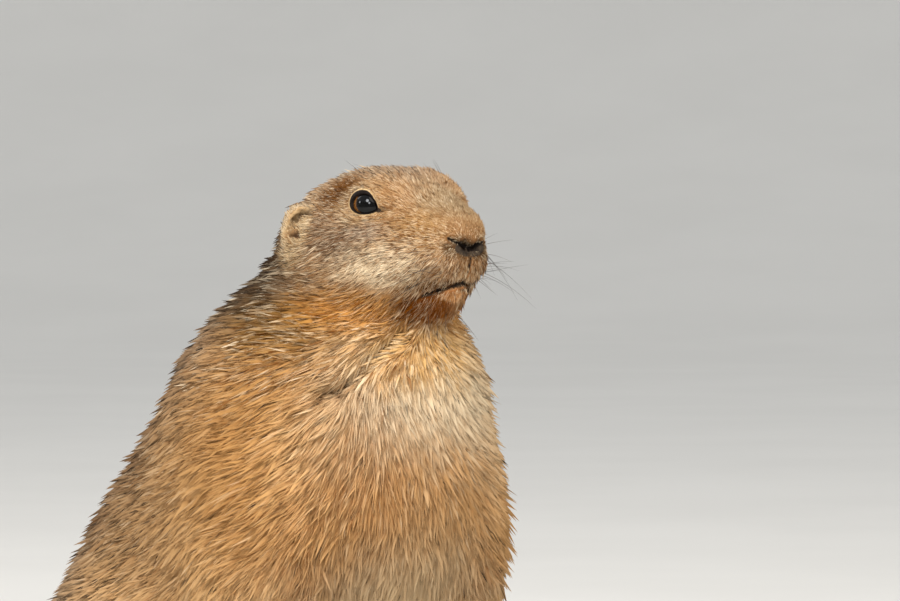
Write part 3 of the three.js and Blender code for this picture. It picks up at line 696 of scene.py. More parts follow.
# The face and the ears
# Lines of the head are given from the middle out or on its left side, and the right mirrors them.
NOSTRIL = ((0.1, 0, -2.7), (1.4, 0.2, -2.1), (3, 0.7, -1.4), (5, 1.4, -0.6), (7.2, 1.8, 0.5))
NOSE_MIDDLE = ((0, 0, -3.2), (1.2, 0, -2.8))  # between the nostrils
NOSE_PAD = ((0, 0, -3.5), (2.5, 0.4, -3.1), (4.2, 1, -2.4))  # the bare skin under the nostrils
MOUTH = (
    (0, 0, -13.2),
    (3.5, 1, -14.1),
    (7, 4, -15.3),
    (9.2, 7.6, -16.6),
    (10.6, 10.6, -17.7),
    (11.4, 13.6, -18.2),
)
PHILTRUM = ((0, -1, -3.5), (0, -1, -8), (0, -0.6, -12.8))
EAR_RIM = (
    (20, 45.5, 9.6),
    (22, 48, 8.6),
    (24, 50.5, 5),
    (25, 52, 1),
    (25, 52, -3),
    (24, 50, -6),
)
EAR_CLEFTS = (  # each with its width and its depth
    (((23.2, 49.4, 5.2), (22.4, 47.8, 7), (20.6, 45.6, 7.6)), 1.15, 1.9),
    (((23.6, 49, 0.6), (22.8, 47.2, 1.2), (22.4, 45.8, -0.4)), 1.0, 1.4),
)
EAR_FOLDS = (22.5, 48.5, 1.5)  # the middle of those clefts
LIDS_AHEAD = 4.5  # the gap between the lids, from its middle
LIDS_BEHIND = 5.1
LIDS_HIGH = 2.9
LIDS_NARROW = 0.42  # the share of that height that the gap loses towards its front corner
CORNER_DROP = 1.7  # how much lower than that middle the front corner of the eye is
LID_EDGE = 1.13  # where the dark edge of the lids ends, as a share of the gap's own size
# Above and behind, the wider dark edge is partly the lids' dark skin and partly painted shade under
# the upper lid
LID_EDGE_MORE = 0.2  # and how much further above and behind
LIDS_REACH = 12  # from the middle of the eyeball
EYE_SUNK = 1.6  # how far the skin in the gap lies below the surface of the eyeball
LID_STANDS = 0.8  # how far the lids stand out over the eyeball


def whole_line(half):
    """A line right across the face, from the half on its left side."""
    return [*((-x, y, z) for x, y, z in reversed(half[1:])), *half]


def fine_line(points, step=0.35):
    """Points close together along a line in millimetres."""
    rows = np.array(points, float)
    spans = np.linalg.norm(np.diff(rows, axis=0), axis=1)
    reach = np.concatenate([[0], np.cumsum(spans)])
    at = np.append(np.arange(0, reach[-1], step), reach[-1])
    return np.stack([np.interp(at, reach, rows[:, axis]) for axis in range(3)], 1)


def laid(line, tree):
    """A line moved on to the skin."""
    return np.array([tree.find_nearest(point)[0] for point in line])


def distance_to(places, line):
    """How far each place is from the nearest point of a line, in millimetres."""
    best = np.full(len(places), np.inf)
    for point in line:
        best = np.minimum(best, np.linalg.norm(places - point, axis=1))
    return best / MM


def from_line(co, line, tree, side=1):
    """How far each place is from a line of the head that is laid on the skin."""
    return distance_to(co, laid(on_head(fine_line(line) * (side, 1, 1)), tree))


def groove(far, width):
    return np.exp(-((far / width) ** 2))


def press(co, normal, far, depth, width, share=1.0):
    """Presses a groove into the skin along a line, or raises a ridge if its depth is below 0."""
    co -= normal * (depth * groove(far, width) * share * MM)[:, None]


def tree_of(mesh):
    places = [tuple(place) for place in places_of(mesh)]
    return BVHTree.FromPolygons(places, [tuple(face.vertices) for face in mesh.polygons])


def raise_mark(mark, share):
    np.maximum(mark, share, out=mark)


def eye_frame(side):
    """The middle of an eye, and the ways ahead along its lids, up, and out."""
    low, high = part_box("eye_left" if side > 0 else "eye_right")
    out = head_place.to_3x3() @ Vector((side, EYE_LOOK[1], EYE_LOOK[2])).normalized()
    up = (Vector((0, 0, 1)) - out * out.z).normalized()
    return (low + high) / 2, out.cross(up) * side, up, out


def eye_rows(side):
    return [np.array(vector) for vector in eye_frame(side)]


def finer(mesh, levels):
    """Divides the faces round each of some places into smaller ones."""
    bm = bmesh.new()
    bm.from_mesh(mesh)
    for spots, reach in levels:
        centres = [Vector(spot) for spot in spots]
        near = [
            face
            for face in bm.faces
            if any((face.calc_center_median() - c).length < reach * MM for c in centres)
        ]
        edges = list({edge for face in near for edge in face.edges})
        bmesh.ops.subdivide_edges(bm, edges=edges, cuts=1, use_grid_fill=True)
        tall = [face for face in bm.faces if len(face.verts) > 4]
        bmesh.ops.triangulate(bm, faces=tall)
    bm.to_mesh(mesh)
    bm.free()


def fine_places():
    """Where the skin's faces are divided, round after round, and how far from those places."""
    eyes = [eye_frame(side)[0] for side in BOTH]
    ears = on_head([(side * EAR_FOLDS[0], *EAR_FOLDS[1:]) for side in BOTH])
    muzzle = on_head(whole_line(((0, 2, -5), (6, 5, -12), (9, 9, -16))))
    nostrils = on_head([(side * 3.5, 0.5, -2.2) for side in BOTH])
    return (
        ((*eyes, *muzzle, *ears), 11),
        ((*eyes, *nostrils, *ears), 9),
        (eyes, 7.4),
        (nostrils, 4.5),
    )


def unwrap(mesh):
    """The map that the coat's colours are kept on, an unwrap of the skin's own shape."""
    holder = link_object("unwrap_holder", mesh)
    mesh.uv_layers.new(name="OFBake")
    bpy.context.view_layer.objects.active = holder
    holder.select_set(True)
    bpy.ops.object.mode_set(mode="EDIT")
    bpy.ops.mesh.select_all(action="SELECT")
    bpy.ops.uv.smart_project(angle_limit=math.radians(66), island_margin=0.002)
    bpy.ops.object.mode_set(mode="OBJECT")
    bpy.data.objects.remove(holder)


def round_eye(places, side):
    """Where places are from the middle of an eye, in millimetres: in all, ahead, up and out. The
    last value is 1 on the edge of the gap between the lids, which is drawn out to its front."""
    centre, ahead, up, out = eye_rows(side)
    off = (places - centre) / MM
    x, y, z = off @ ahead, off @ up, off @ out
    front = np.clip(x / LIDS_AHEAD, 0, 1.2) ** 2
    long = np.where(x > 0, LIDS_AHEAD, LIDS_BEHIND)
    high = LIDS_HIGH * (1 - LIDS_NARROW * front)
    return off, x, y, z, np.hypot(x / long, (y + CORNER_DROP * front) / high)


def lid_margin(x, y):
    """How far out the dark edge of the lids reaches. It is wider above and behind, where it is partly
    dark skin and partly painted shade under the upper lid.
    """
    above = np.clip((y * 0.85 - x * 0.5) / np.maximum(np.hypot(x, y), 1e-6), 0, 1)
    return LID_EDGE + LID_EDGE_MORE * above


def shape_lids(co, marks):
    """Sinks the opening of each eye below the eyeball, and raises the rims of the lids round it."""
    for side in BOTH:
        centre, ahead, up, out = eye_rows(side)
        off, x, y, z, ring = round_eye(co, side)
        far = np.maximum(np.linalg.norm(off, axis=1), 1e-6)
        facing = (z > 0) & (far < LIDS_REACH)
        margin = lid_margin(x, y)
        above = (margin - LID_EDGE) / LID_EDGE_MORE
        hollow, rim = EYE_RADIUS - EYE_SUNK, EYE_RADIUS + LID_STANDS
        wanted = hollow + (rim - hollow) * smooth_step(0.9, 1.06, ring)
        wanted += 0.35 * above * smooth_step(1.0, margin + 0.1, ring)
        fade = fades(1.4, 2.2, ring)
        fold = -0.4 * groove(ring - margin - 0.6, 0.12) * above
        target = wanted * fade + far * (1 - fade) + fold
        co[facing] = (centre + off / far[:, None] * target[:, None] * MM)[facing]
        # the dark skin of the lid edge, partly painted shade under the upper lid where the edge is
        # wider
        raise_mark(marks["bare"], fades(margin, margin + 0.07, ring) * facing)
        corner = [(LIDS_AHEAD - 0.6, -CORNER_DROP, 4.6), (LIDS_AHEAD + 1.2, -CORNER_DROP, 3.4)]
        spots = centre + fine_line(corner) @ np.array([ahead, up, out]) * MM
        smudge = fades(0.3, 1.0, distance_to(co, spots))
        raise_mark(marks["bare"], 0.6 * smudge)
        raise_mark(marks["thin"], 0.8 * smudge)
        outer = smooth_step(margin, margin + 0.08, ring)
        outer *= fades(margin + 0.16, margin + 0.5, ring)
        raise_mark(marks["pale"], outer * facing * (1 - smudge))
        raise_mark(marks["thin"], fades(margin + 0.08, margin + 0.4, ring) * facing)


def shape_ears(co, normal, marks, tree):
    """Raises the rim of each ear, and presses in the clefts of its folds, with painted shade in them.
    """
    for side in BOTH:
        far = from_line(co, EAR_RIM, tree, side)
        press(co, normal, far, -0.6, 1.0)
        raise_mark(marks["pale"], 0.6 * fades(0.6, 1.6, far))
        for line, width, depth in EAR_CLEFTS:
            far = from_line(co, line, tree, side)
            press(co, normal, far, depth, width)
            # painted shade in the cleft, on the skin and on the tufts that grow there
            raise_mark(marks["cleft"], fades(width * 0.5, width * 1.5, far))
            raise_mark(marks["thin"], fades(width * 0.5, width * 1.3, far))


def shape_nose(co, normal, marks, tree, spot):
    """Presses in the nostrils and the cleft below them, and bares the skin round them."""
    across = np.abs(spot[:, 0])
    for side in BOTH:
        far = from_line(co, NOSTRIL, tree, side)
        outer = smooth_step(2.6, 5.0, across)
        wide = (1.5 - 0.95 * outer) * (0.85 + 0.15 * smooth_step(0.6, 2.0, across))
        press(co, normal, far, 2.4 - 1.5 * outer, 0.85 * wide)
        raise_mark(marks["bare"], fades(0.5 * wide, 1.2 * wide, far))
        raise_mark(marks["thin"], fades(0.6 * wide, 1.1 * wide, far))
    pad = from_line(co, whole_line(NOSE_PAD), tree)
    raise_mark(marks["bare"], 0.6 * fades(0.8, 2.0, pad))
    raise_mark(marks["thin"], 0.9 * fades(0.5, 1.3, pad))
    between = from_line(co, whole_line(NOSE_MIDDLE), tree)
    raise_mark(marks["bare"], 0.85 * fades(0.5, 1.3, between))
    raise_mark(marks["thin"], fades(0.6, 1.2, between))
    far = from_line(co, PHILTRUM, tree)
    low_end = smooth_step(-11.5, -8, spot[:, 2])
    press(co, normal, far, 0.7, 0.5)
    raise_mark(marks["bare"], 0.85 * fades(0.25, 0.6, far) * low_end)
    raise_mark(marks["thin"], fades(0.4, 0.8, far) * low_end)


def shape_mouth(co, normal, marks, tree, spot):
    """Presses in the slit of the mouth, and shows the edge of the lower lip in front."""
    across = np.abs(spot[:, 0])
    far = from_line(co, whole_line(MOUTH), tree)
    ends = fades(7, 11, across)
    press(co, normal, far, 2.6, 0.95, 0.4 + 0.6 * ends)
    raise_mark(marks["bare"], 0.72 * fades(0.8, 1.5, far) * (0.35 + 0.65 * ends))
    raise_mark(marks["thin"], fades(0.6, 1.1, far) * ends)
    below = spot[:, 2] < -13.7 - across * 0.22
    front = below * fades(5, 8, spot[:, 1])
    raise_mark(marks["lip"], front * smooth_step(0.9, 1.2, far) * fades(1.2, 1.8, far))


def shape_crease(co, normal, marks, tree):
    """Presses in the crease where the throat meets the chest, and paints shade into it."""
    far = distance_to(co, laid(on_body(fine_line(CREASE, 1.0)), tree))
    press(co, normal, far, 3.2, 2.2)
    raise_mark(marks["thin"], 0.9 * fades(0.6, 2.2, far))
    # painted shade along the crease
    raise_mark(marks["cleft"], fades(0.8, 2.6, far))


def shape_features(mesh):
    """The ears, nose, mouth, lids and crease, and the marks of the skin at each place."""
    co, normal = places_of(mesh), normals_of(mesh)
    marks = {name: np.zeros(len(co)) for name in (*SKIN_MARKS, "thin")}
    tree = tree_of(mesh)
    shape_ears(co, normal, marks, tree)
    spot = in_head(co)
    shape_nose(co, normal, marks, tree, spot)
    shape_mouth(co, normal, marks, tree, spot)
    shape_lids(co, marks)
    shape_crease(co, normal, marks, tree)
    move_to(mesh, co)
    for name, values in marks.items():
        layer = mesh.attributes.new(name, "FLOAT", "POINT")
        layer.data.foreach_set("value", values.astype(np.float32))


CLAW_CORE = 0.75  # the share of the way in to each claw's middle line that the skin is drawn
LIPS_DRAWN_IN = 0.18  # the share of their width that the lips lose
LIPS_SLOPE = 0.24  # how far back their sides go, for each millimetre out from the middle
DEEPEST = 5  # how far the skin may lie below the solids
FIRM = 0.15  # how soft the feet and the ears still are where the solids are relaxed


def draw_in_claws(co):
    """Where the solids have claws, the skin is drawn in to a thin core that the claws cover."""
    for path, thick in claw_paths():
        line = fine_line(path[1:]) * MM
        base, ahead = line[0], unit((line[-1] - line[0])[None])[0]
        beyond = smooth_step(-0.2, 1.2, (co - base) @ ahead / MM)
        far = distance_to(co, line)
        close = np.flatnonzero((far < thick + 1.5) & (beyond > 0))
        if len(close) == 0:
            continue
        gaps = np.linalg.norm(co[close][:, None] - line[None], axis=2)
        nearest = line[gaps.argmin(1)]
        share = CLAW_CORE * beyond[close]
        co[close] += (nearest - co[close]) * share[:, None]
    return co


def narrow_lips(co):
    """Draws in the sides of the lips and the chin below the nose."""
    head = in_head(co)
    share = fades(-13, -6, head[:, 2]) * fades(6, 14, head[:, 1])
    share *= smooth_step(-34, -26, head[:, 2])
    wide = np.abs(head[:, 0]).clip(0, 8)
    head[:, 0] *= 1 - LIPS_DRAWN_IN * share
    head[:, 1] += LIPS_SLOPE * wide * share
    return on_head(head)


def away_from_ears(co):
    """0 on the ears and 1 away from them."""
    share = np.ones(len(co))
    for name in ("ear_left", "ear_right"):
        low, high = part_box(name)
        far = np.linalg.norm(co - np.array((low + high) / 2), axis=1) / MM
        share *= smooth_step(7, 12, far)
    return share


def make_skin(material):
    """One skin over the flesh, as far below the solids as the coat on it stands off."""
    mesh = remeshed(merged_flesh(), SKIN_GRAIN)
    co = places_of(mesh)
    above_feet = smooth_step(10, 26, in_body(co)[:, 2])
    ears = away_from_ears(co)
    relax(mesh, (FIRM + (1 - FIRM) * above_feet) * (FIRM + (1 - FIRM) * ears))
    co = places_of(mesh)
    depth = coat_depth(co) * (0.1 + ears)
    co -= normals_of(mesh) * np.minimum(depth, DEEPEST * MM)[:, None]
    move_to(mesh, narrow_lips(draw_in_claws(co)))
    unwrap(mesh)
    finer(mesh, fine_places())
    shape_features(mesh)
    smoothed(mesh).materials.append(material)
    skin = link_object("skin", mesh)
    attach(skin, "root")
    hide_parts(*FLESH)
    return skin


def new_curve(name, radius, rounding):
    """A curve whose lines become round rods of a radius in millimetres, closed at both ends."""
    curve = bpy.data.curves.new(name, "CURVE")
    curve.dimensions = "3D"
    curve.bevel_depth = radius * MM
    curve.bevel_resolution = rounding
    curve.use_fill_caps = True
    return curve


def mesh_from_curve(name, curve):
    holder = link_object(f"{name}_curves", curve)
    graph = bpy.context.evaluated_depsgraph_get()
    mesh = bpy.data.meshes.new_from_object(holder.evaluated_get(graph))
    bpy.data.objects.remove(holder)
    bm = bmesh.new()
    bm.from_mesh(mesh)
    bmesh.ops.recalc_face_normals(bm, faces=bm.faces)
    bm.to_mesh(mesh)
    bm.free()
    mesh.materials.clear()
    return smoothed(mesh)


def add_piece(name, mesh, material, slot):
    mesh.materials.append(material)
    piece = link_object(name, mesh)
    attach(piece, "root")
    return piece


# The claws
FORE_WRIST = (29, 37)  # side and back of the middle of each forefoot
HEEL = (38, 118)
FORE_TURN_OUT = 6  # degrees
HIND_TURN_OUT = 9
SUNK = 1.0  # how far the soles are cut below the middle of the toes
# Each digit: how far out and ahead its root is, its spread in degrees, its length, its radius,
# and the length of its claw
FORE_DIGITS = (
    (-5.4, 5, -24, 8, 2.7, 8),
    (-2, 8, -8, 10, 3, 9.5),
    (2.2, 8, 8, 9.6, 3, 9.5),
    (5.8, 4.5, 25, 8, 2.7, 8),
)
HIND_DIGITS = (
    (-7.2, 34, -14, 6, 2.5, 5),
    (-4, 38, -6, 9.5, 2.9, 6.5),
    (0, 39, 0, 10.5, 3, 7),
    (4, 38, 6, 9.5, 2.9, 6.5),
    (7.4, 33, 15, 6, 2.5, 5),
)
CLAW_THICK = 0.46  # a claw's radius at its root, as a share of its toe's
CLAW_TAPER = (1.0, 1.0, 0.85, 0.5, 0.16)


def claw_paths():
    """The line of each claw from inside its toe to its point, in millimetres, and its radius."""
    paths = []
    for side in BOTH:
        for (out_at, back), turn, digits in (
            (FORE_WRIST, FORE_TURN_OUT, FORE_DIGITS),
            (HEEL, HIND_TURN_OUT, HIND_DIGITS),
        ):
            cos, sin = math.cos(math.radians(turn)), math.sin(math.radians(turn))
            for out, ahead, spread, long, thick, claw in digits:
                away = math.radians(spread)
                rise = thick - SUNK
                path = []
                for along, up in (
                    (long * 0.8, rise + 0.9),
                    (long + 0.5, rise + 1.2),
                    (long + claw * 0.5, rise + 1.0),
                    (long + claw * 0.8, rise * 0.5 + 0.7),
                    (long + claw * 0.98, 0.7),
                ):
                    aside, before = out + along * math.sin(away), ahead + along * math.cos(away)
                    turned = (aside * cos + before * sin, before * cos - aside * sin)
                    place = (side * (out_at + turned[0]), back - turned[1], up)
                    path.append(placed(body_place, [place])[0])
                paths.append((np.array(path), thick * CLAW_THICK))
    return paths


def add_claws():
    curve = new_curve("claws", 1.0, 3)
    curve.resolution_u = 5
    for path, thick in claw_paths():
        spline = curve.splines.new("NURBS")
        spline.points.add(len(path) - 1)
        spline.order_u = 3
        spline.use_endpoint_u = True
        for point, place, share in zip(spline.points, path, CLAW_TAPER):
            point.co = (*(place * MM), 1)
            point.radius = thick * share
    mesh = mesh_from_curve("claws", curve)
    material, tree, shader = new_material("prairie_dog_claw", 0.32, Coat_Weight=0.3)
    place = object_place(tree)
    horn = mottled(tree, noise(tree, place, 420.0, 4.0)[0], paint(34, 27, 23), paint(92, 74, 60))
    tree.links.new(horn, shader.inputs["Base Color"])
    bump(tree, shader, noise(tree, place, 900.0, 2.0)[0], 0.3, 0.1)
    add_piece("claws", mesh, material, "claw")


# The eyes
PUPIL_AT = (1.0, 0.5, 0)  # ahead of and above the middle of the eyeball, as it looks forward
PUPIL_EDGE = (3.5, 4.3)  # where the pupil starts to turn into the iris, and where it has
IRIS_EDGE = (4.9, 5.5)
CORNEA = 0.4  # how far the front of the eyeball bulges


def add_eye(side):
    centre, ahead, up, out = eye_frame(side)
    name = "eyeball_left" if side > 0 else "eyeball_right"
    bm = bmesh.new()
    bmesh.ops.create_uvsphere(bm, u_segments=64, v_segments=40, radius=EYE_RADIUS * MM)
    for vert in bm.verts:
        vert.co.z += CORNEA * MM * smooth_step(0.6, 1.0, vert.co.z / (EYE_RADIUS * MM))
    turn = Matrix((ahead * side, up, out)).transposed().to_4x4()
    bmesh.ops.transform(bm, matrix=Matrix.Translation(centre) @ turn, verts=bm.verts)
    bmesh.ops.recalc_face_normals(bm, faces=bm.faces)
    mesh = smoothed(mesh_of(name, bm))
    material, tree, shader = new_material(f"prairie_dog_{name}", 0.05, Specular_IOR_Level=0.24)
    off = vector_maths(tree, "SUBTRACT", object_place(tree), centre)
    x = vector_maths(tree, "DOT_PRODUCT", off, ahead)
    y = vector_maths(tree, "DOT_PRODUCT", off, up)
    flat = scaled(tree, add_node(tree, "ShaderNodeCombineXYZ", {0: x, 1: y}).outputs[0], 1 / MM)
    away = vector_maths(tree, "LENGTH", vector_maths(tree, "SUBTRACT", flat, PUPIL_AT))
    streaks = noise(tree, scaled(tree, flat, 2.2), 1.0)[0]
    iris = mottled(tree, streaks, paint(70, 38, 10), paint(132, 84, 30))
    inner = colour_mix(tree, ramp(tree, away, *PUPIL_EDGE), paint(2, 2, 2), iris)
    outer = colour_mix(tree, ramp(tree, away, *IRIS_EDGE), inner, paint(12, 8, 6))
    tree.links.new(outer, shader.inputs["Base Color"])
    eye = add_piece(name, mesh, material, "eye")
    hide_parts("eye_left" if side > 0 else "eye_right")


# The coat
MOST_TUFTS = 45000  # in one piece of the coat
HAIRS_IN_LOCK = 9
WIDEST = 0.33  # how far along a tuft its widest place is
SOFT_LEAN = 0.3  # how far the light on its two edges differs
ARCH = 0.3  # how far it bends up at its widest place, as a share of how far its tip stands off
ROOT_DEPTH = 0.3  # how far below the skin it starts
CROWN_ROOM = 2.5  # how far above the solids the hair of the crown may reach
STRAY_SHARE = 0.06  # of the tufts, which are longer and stand off further
STRAY_LONGER = 1.2
STRAY_LIFT = math.radians(12)
LIFTS = (math.radians(4), math.radians(42))  # the least and the most
# How far the tips of a lock gather, and half the width of a tuft, each by the tuft's length
GATHER = ((1, 3, 6), (0.05, 0.16, 0.22))
HALF_WIDTH = ((1, 3, 6, 12), (0.06, 0.054, 0.047, 0.046))
TUFT_PATCH = ((0, -0.0015), (-0.0015, 0), (0.0015, 0), (0, 0.0015))  # its corners on the map
# How many tufts grow on each square millimetre, and how many more of them in some places
TUFTS = {"everywhere": 2.8, "chest": 1.6, "face": 3.7, "muzzle": 3.2, "ears": 3.5, "feet": 3.0}
EAR_FUR = (22.5, 49, 1)  # the middle of the ear's hair
MORE_IN_VIEW = 0.7  # the share by which the side that the camera sees has more
ON_SOLES = 0.05  # the share that is left on the soles
# The shares of the tufts that have a dark end and a cream end, added up where zones overlap
END_SHARES = {
    "everywhere": (0.012, 0.012),
    "back": (0.1, 0.055),
    "nape": (0.2, 0.02),
    "lips": (0.16, 0.14),
    "side of the face": (0.26, 0.14),
    "edge of the crown": (-0.13, -0.084),
    "tail": (0.5, 0.0),
}
DARK_ENDS, CREAM_ENDS = 0, 1
BARE_NOSE = (0, 0.5, -2.5)  # the middle of the place round the nostrils without pale hair
SLIT_HALF, SLIT_BACK = 9.5, 10  # how far to the side and the back the mouth's slit stays open
PAST_SLIT = 0.5  # how far the hair above may reach over it
PARTED_NEAR = 14  # how near the middle of an eye the hair parts
LID_ROOM = 0.04  # how far the hair stays off the dark edge of the lids
CHEST_PALE = ((10, 10, 128), (24, 24, 22))  # the middle and half sizes of its palest place
# Where the regions of the coat meet: how far back on the body, and how far up
CHEST_TO, BACK_FROM, FEET_TO, TAIL_FROM, TAIL_TIP_FROM = 44, 100, 122, 168, 212
FEET_TOP, HAUNCH_TOP, NECK_FROM = 20, 62, 122
FACE_TO, FACE_LOW = 56, -27  # how far back and how far down on the head the face goes
COAT_SLOTS = {
    "face_left": "head_fur",
    "face_right": "head_fur",
    "ears": "ear_fur",
    "feet": "foot_fur",
    "tail_tip": "black_fur",
}


def mark_at(mesh, name):
    return numbers(mesh.attributes[name].data, "value", 1)[:, 0]


def root_density(places, normals, bare):
    """How many tufts grow on each square millimetre. The side that the camera sees has more."""
    spot, head = in_body(places), in_head(places)
    high = smooth_step(110, 140, spot[:, 2])
    face = fades(30, 60, head[:, 1]) * high
    muzzle = fades(8, 18, head[:, 1]) * high
    chest = fades(30, 70, spot[:, 1]) * smooth_step(60, 90, spot[:, 2])
    paired = np.stack([np.abs(head[:, 0]), head[:, 1], head[:, 2]], 1)
    ears = fades(7, 11, np.linalg.norm(paired - EAR_FUR, axis=1))
    feet = fades(14, 26, spot[:, 2]) * (spot[:, 1] < 124)
    density = TUFTS["everywhere"] + TUFTS["chest"] * chest + TUFTS["face"] * face
    density += TUFTS["muzzle"] * muzzle + TUFTS["ears"] * ears + TUFTS["feet"] * feet
    toward = normals @ (math.sin(VIEW_AZIMUTH), -math.cos(VIEW_AZIMUTH), 0)
    seen = smooth_step(-0.3, 0.3, toward) * smooth_step(60, 80, spot[:, 2])
    sole = spot[:, 2] < 1.2
    return density * (1 + MORE_IN_VIEW * seen) * (1 - bare) * np.where(sole, ON_SOLES, 1)


def sample_roots(mesh, density, rng):
    """Spreads the roots over the skin: their places, normals, places on its map, and corners."""
    mesh.calc_loop_triangles()
    corners = numbers(mesh.loop_triangles, "vertices", 3, np.int32)
    loops = numbers(mesh.loop_triangles, "loops", 3, np.int32)
    uv = numbers(mesh.uv_layers["OFBake"].data, "uv", 2)
    co, normal = places_of(mesh), normals_of(mesh)
    a, b, c = (co[corners[:, n]] for n in range(3))
    area = np.linalg.norm(np.cross(b - a, c - a), axis=1) / 2 / MM**2
    reach = np.cumsum(area * density[corners].mean(1))
    total = int(reach[-1])
    picks = np.searchsorted(reach, np.arange(total) + rng.uniform(0, 1, total))
    picks = np.minimum(picks, len(corners) - 1)
    u, v = rng.uniform(0, 1, (2, total))
    over = u + v > 1
    u[over], v[over] = 1 - u[over], 1 - v[over]
    shares = np.stack([1 - u - v, u, v], 1)[:, :, None]
    root = (co[corners[picks]] * shares).sum(1)
    out = unit((normal[corners[picks]] * shares).sum(1))
    return root, out, (uv[loops[picks]] * shares).sum(1), corners[picks]


def along_skin(tree, root, out, way, step):
    """Walks from each root over the skin, and gives the places and the skin's normals there."""
    flat = unit(way - out * (way * out).sum(1)[:, None])
    aim = root + flat * step[:, None]
    spots, normals = np.empty_like(aim), np.empty_like(aim)
    for n, point in enumerate(aim):
        found = tree.find_nearest(point)
        spots[n], normals[n] = found[0], found[1]
    return spots, normals


def tuft_mesh(name, tufts):
    """Closed tapered tufts as one mesh. Each is a blade from a root over its widest place to a
    tip, with a keel below, so that it has four vertices and four faces."""
    count = len(tufts["root"])
    co, normal = np.empty((count, 4, 3)), np.empty((count, 4, 3))
    strand = np.ones((count, 4, 4), np.float32)
    root, middle, tip, skin_out = (tufts[key] for key in ("root", "middle", "tip", "out"))
    side = unit(np.cross(skin_out, tip - root))
    above = np.einsum("ij,ij->i", np.cross(side, tip - root), middle - root)
    side *= -np.sign(above)[:, None]
    across = side * tufts["half"][:, None]
    for n, place in enumerate((root, middle - across, middle + across, tip)):
        co[:, n] = place
    for n, lean in enumerate((0, -SOFT_LEAN, SOFT_LEAN, 0)):
        normal[:, n] = unit(skin_out + side * lean)
    strand[:, :, 0] = (0, WIDEST, WIDEST, 1)
    for channel, key in ((1, "tone"), (2, "dark"), (3, "cream")):
        strand[:, :, channel] = tufts[key][:, None]
    faces = np.array([(0, 1, 2), (1, 3, 2), (0, 3, 1), (0, 2, 3)])
    index = (faces[None] + np.arange(count)[:, None, None] * 4).reshape(-1)
    mesh = bpy.data.meshes.new(name)
    mesh.vertices.add(count * 4)
    mesh.vertices.foreach_set("co", co.astype(np.float32).ravel())
    mesh.loops.add(len(index))
    mesh.loops.foreach_set("vertex_index", index.astype(np.int32))
    mesh.polygons.add(len(index) // 3)
    mesh.polygons.foreach_set("loop_start", np.arange(0, len(index), 3, dtype=np.int32))
    mesh.polygons.foreach_set("use_smooth", np.ones(len(index) // 3, bool))
    mesh.update(calc_edges=True)
    mesh.attributes.new("strand", "FLOAT_COLOR", "POINT").data.foreach_set("color", strand.ravel())
    spots = (tufts["uv"][:, None, :] + np.array(TUFT_PATCH)[None]).reshape(-1, 2)
    layer = mesh.uv_layers.new(name="OFBake")
    layer.data.foreach_set("uv", spots[index].astype(np.float32).ravel())
    mesh.normals_split_custom_set_from_vertices(normal.reshape(-1, 3).astype(np.float32))
    return mesh


def lock_of(root, centres):
    """The lock that each root belongs to, which is the one whose middle is nearest."""
    finder = KDTree(len(centres))
    for n, centre in enumerate(root[centres]):
        finder.insert(centre, n)
    finder.balance()
    return np.array([finder.find(place)[1] for place in root])


def hair_zones(spot, head):
    """How far each tuft belongs to each zone of the coat's dark and cream ends."""
    high = smooth_step(118, 140, spot[:, 2])
    side_face = smooth_step(9, 20, head[:, 1]) * smooth_step(-16, -2, head[:, 2]) * high
    crown = smooth_step(10, 16, head[:, 2]) * high
    lips = fades(10, 20, head[:, 1]) * fades(0, 5, head[:, 2]) * high
    return {
        "everywhere": 1.0,
        "back": smooth_step(64, 100, spot[:, 1]) * smooth_step(20, 60, spot[:, 2]),
        "nape": smooth_step(48, 70, spot[:, 1]) * smooth_step(120, 150, spot[:, 2]),
        "lips": lips * smooth_step(-16.5, -13.5, head[:, 2]),
        "side of the face": side_face,
        "edge of the crown": side_face * crown,
        "tail": smooth_step(200, 222, spot[:, 1]),
        "smooth hair": np.maximum(crown, fades(6, 16, head[:, 1])) * high,
        "head": high,
    }


def hair_ends(root, lock_tone, pale, cleft, rng):
    """How light each tuft is, and how dark or cream its end is, with painted shade on the tufts in
    the clefts of the ears and the crease of the throat.
    """
    count = len(root)
    spot, head = in_body(root), in_head(root)
    zones = hair_zones(spot, head)
    dark, cream = (
        sum(shares[end] * zones[zone] for zone, shares in END_SHARES.items())
        for end in (DARK_ENDS, CREAM_ENDS)
    )
    nose = smooth_step(3.6, 6.5, np.linalg.norm(head - BARE_NOSE, axis=1))
    cream = cream * nose - 0.3 * (1 - nose)
    high = zones["head"]
    uneven = high * (head[:, 1] < 60)
    clump = ripple(root / MM, 0.42, 21) * 0.5 + ripple(root / MM, 1.3, 22) * 0.35
    chance = rng.uniform(0, 1, count) + clump * (0.03 + 0.17 * uneven)
    is_dark = (chance < dark) * rng.uniform(0.55, 1.0, count)
    is_cream = (chance > 1 - cream) * rng.uniform(0.2, 0.65, count) * (0.5 + 0.5 * high)
    spread = 0.075 + 0.12 * uneven * (1 - 0.6 * zones["smooth hair"]) + 0.25 * zones["lips"]
    chest_pale = np.exp(-(((spot - CHEST_PALE[0]) / CHEST_PALE[1]) ** 2).sum(1))
    tone = 0.5 + 0.26 * chest_pale + rng.normal(0, 1, count) * spread
    tone += lock_tone * spread * 0.6 + clump * 0.16
    is_cream = np.maximum(is_cream, pale * rng.uniform(0.5, 0.9, count))
    # painted shade: the tufts in the clefts and the crease get darker ends and a darker tone
    is_dark = np.maximum(is_dark, cleft * rng.uniform(0.1, 0.7, count))
    return np.clip(tone, 0, 1) * (1 - 0.7 * cleft), is_dark, is_cream


def above_mouth(root):
    """How long the hair above the slit of the mouth may be, so that the slit shows."""
    head = in_head(root)
    rows = np.array(MOUTH)
    above = head[:, 2] - np.interp(np.abs(head[:, 0]), rows[:, 0], rows[:, 2])
    near = (above > 0) & (np.abs(head[:, 0]) < SLIT_HALF) & (head[:, 1] < SLIT_BACK)
    return np.where(near, above + PAST_SLIT, np.inf)


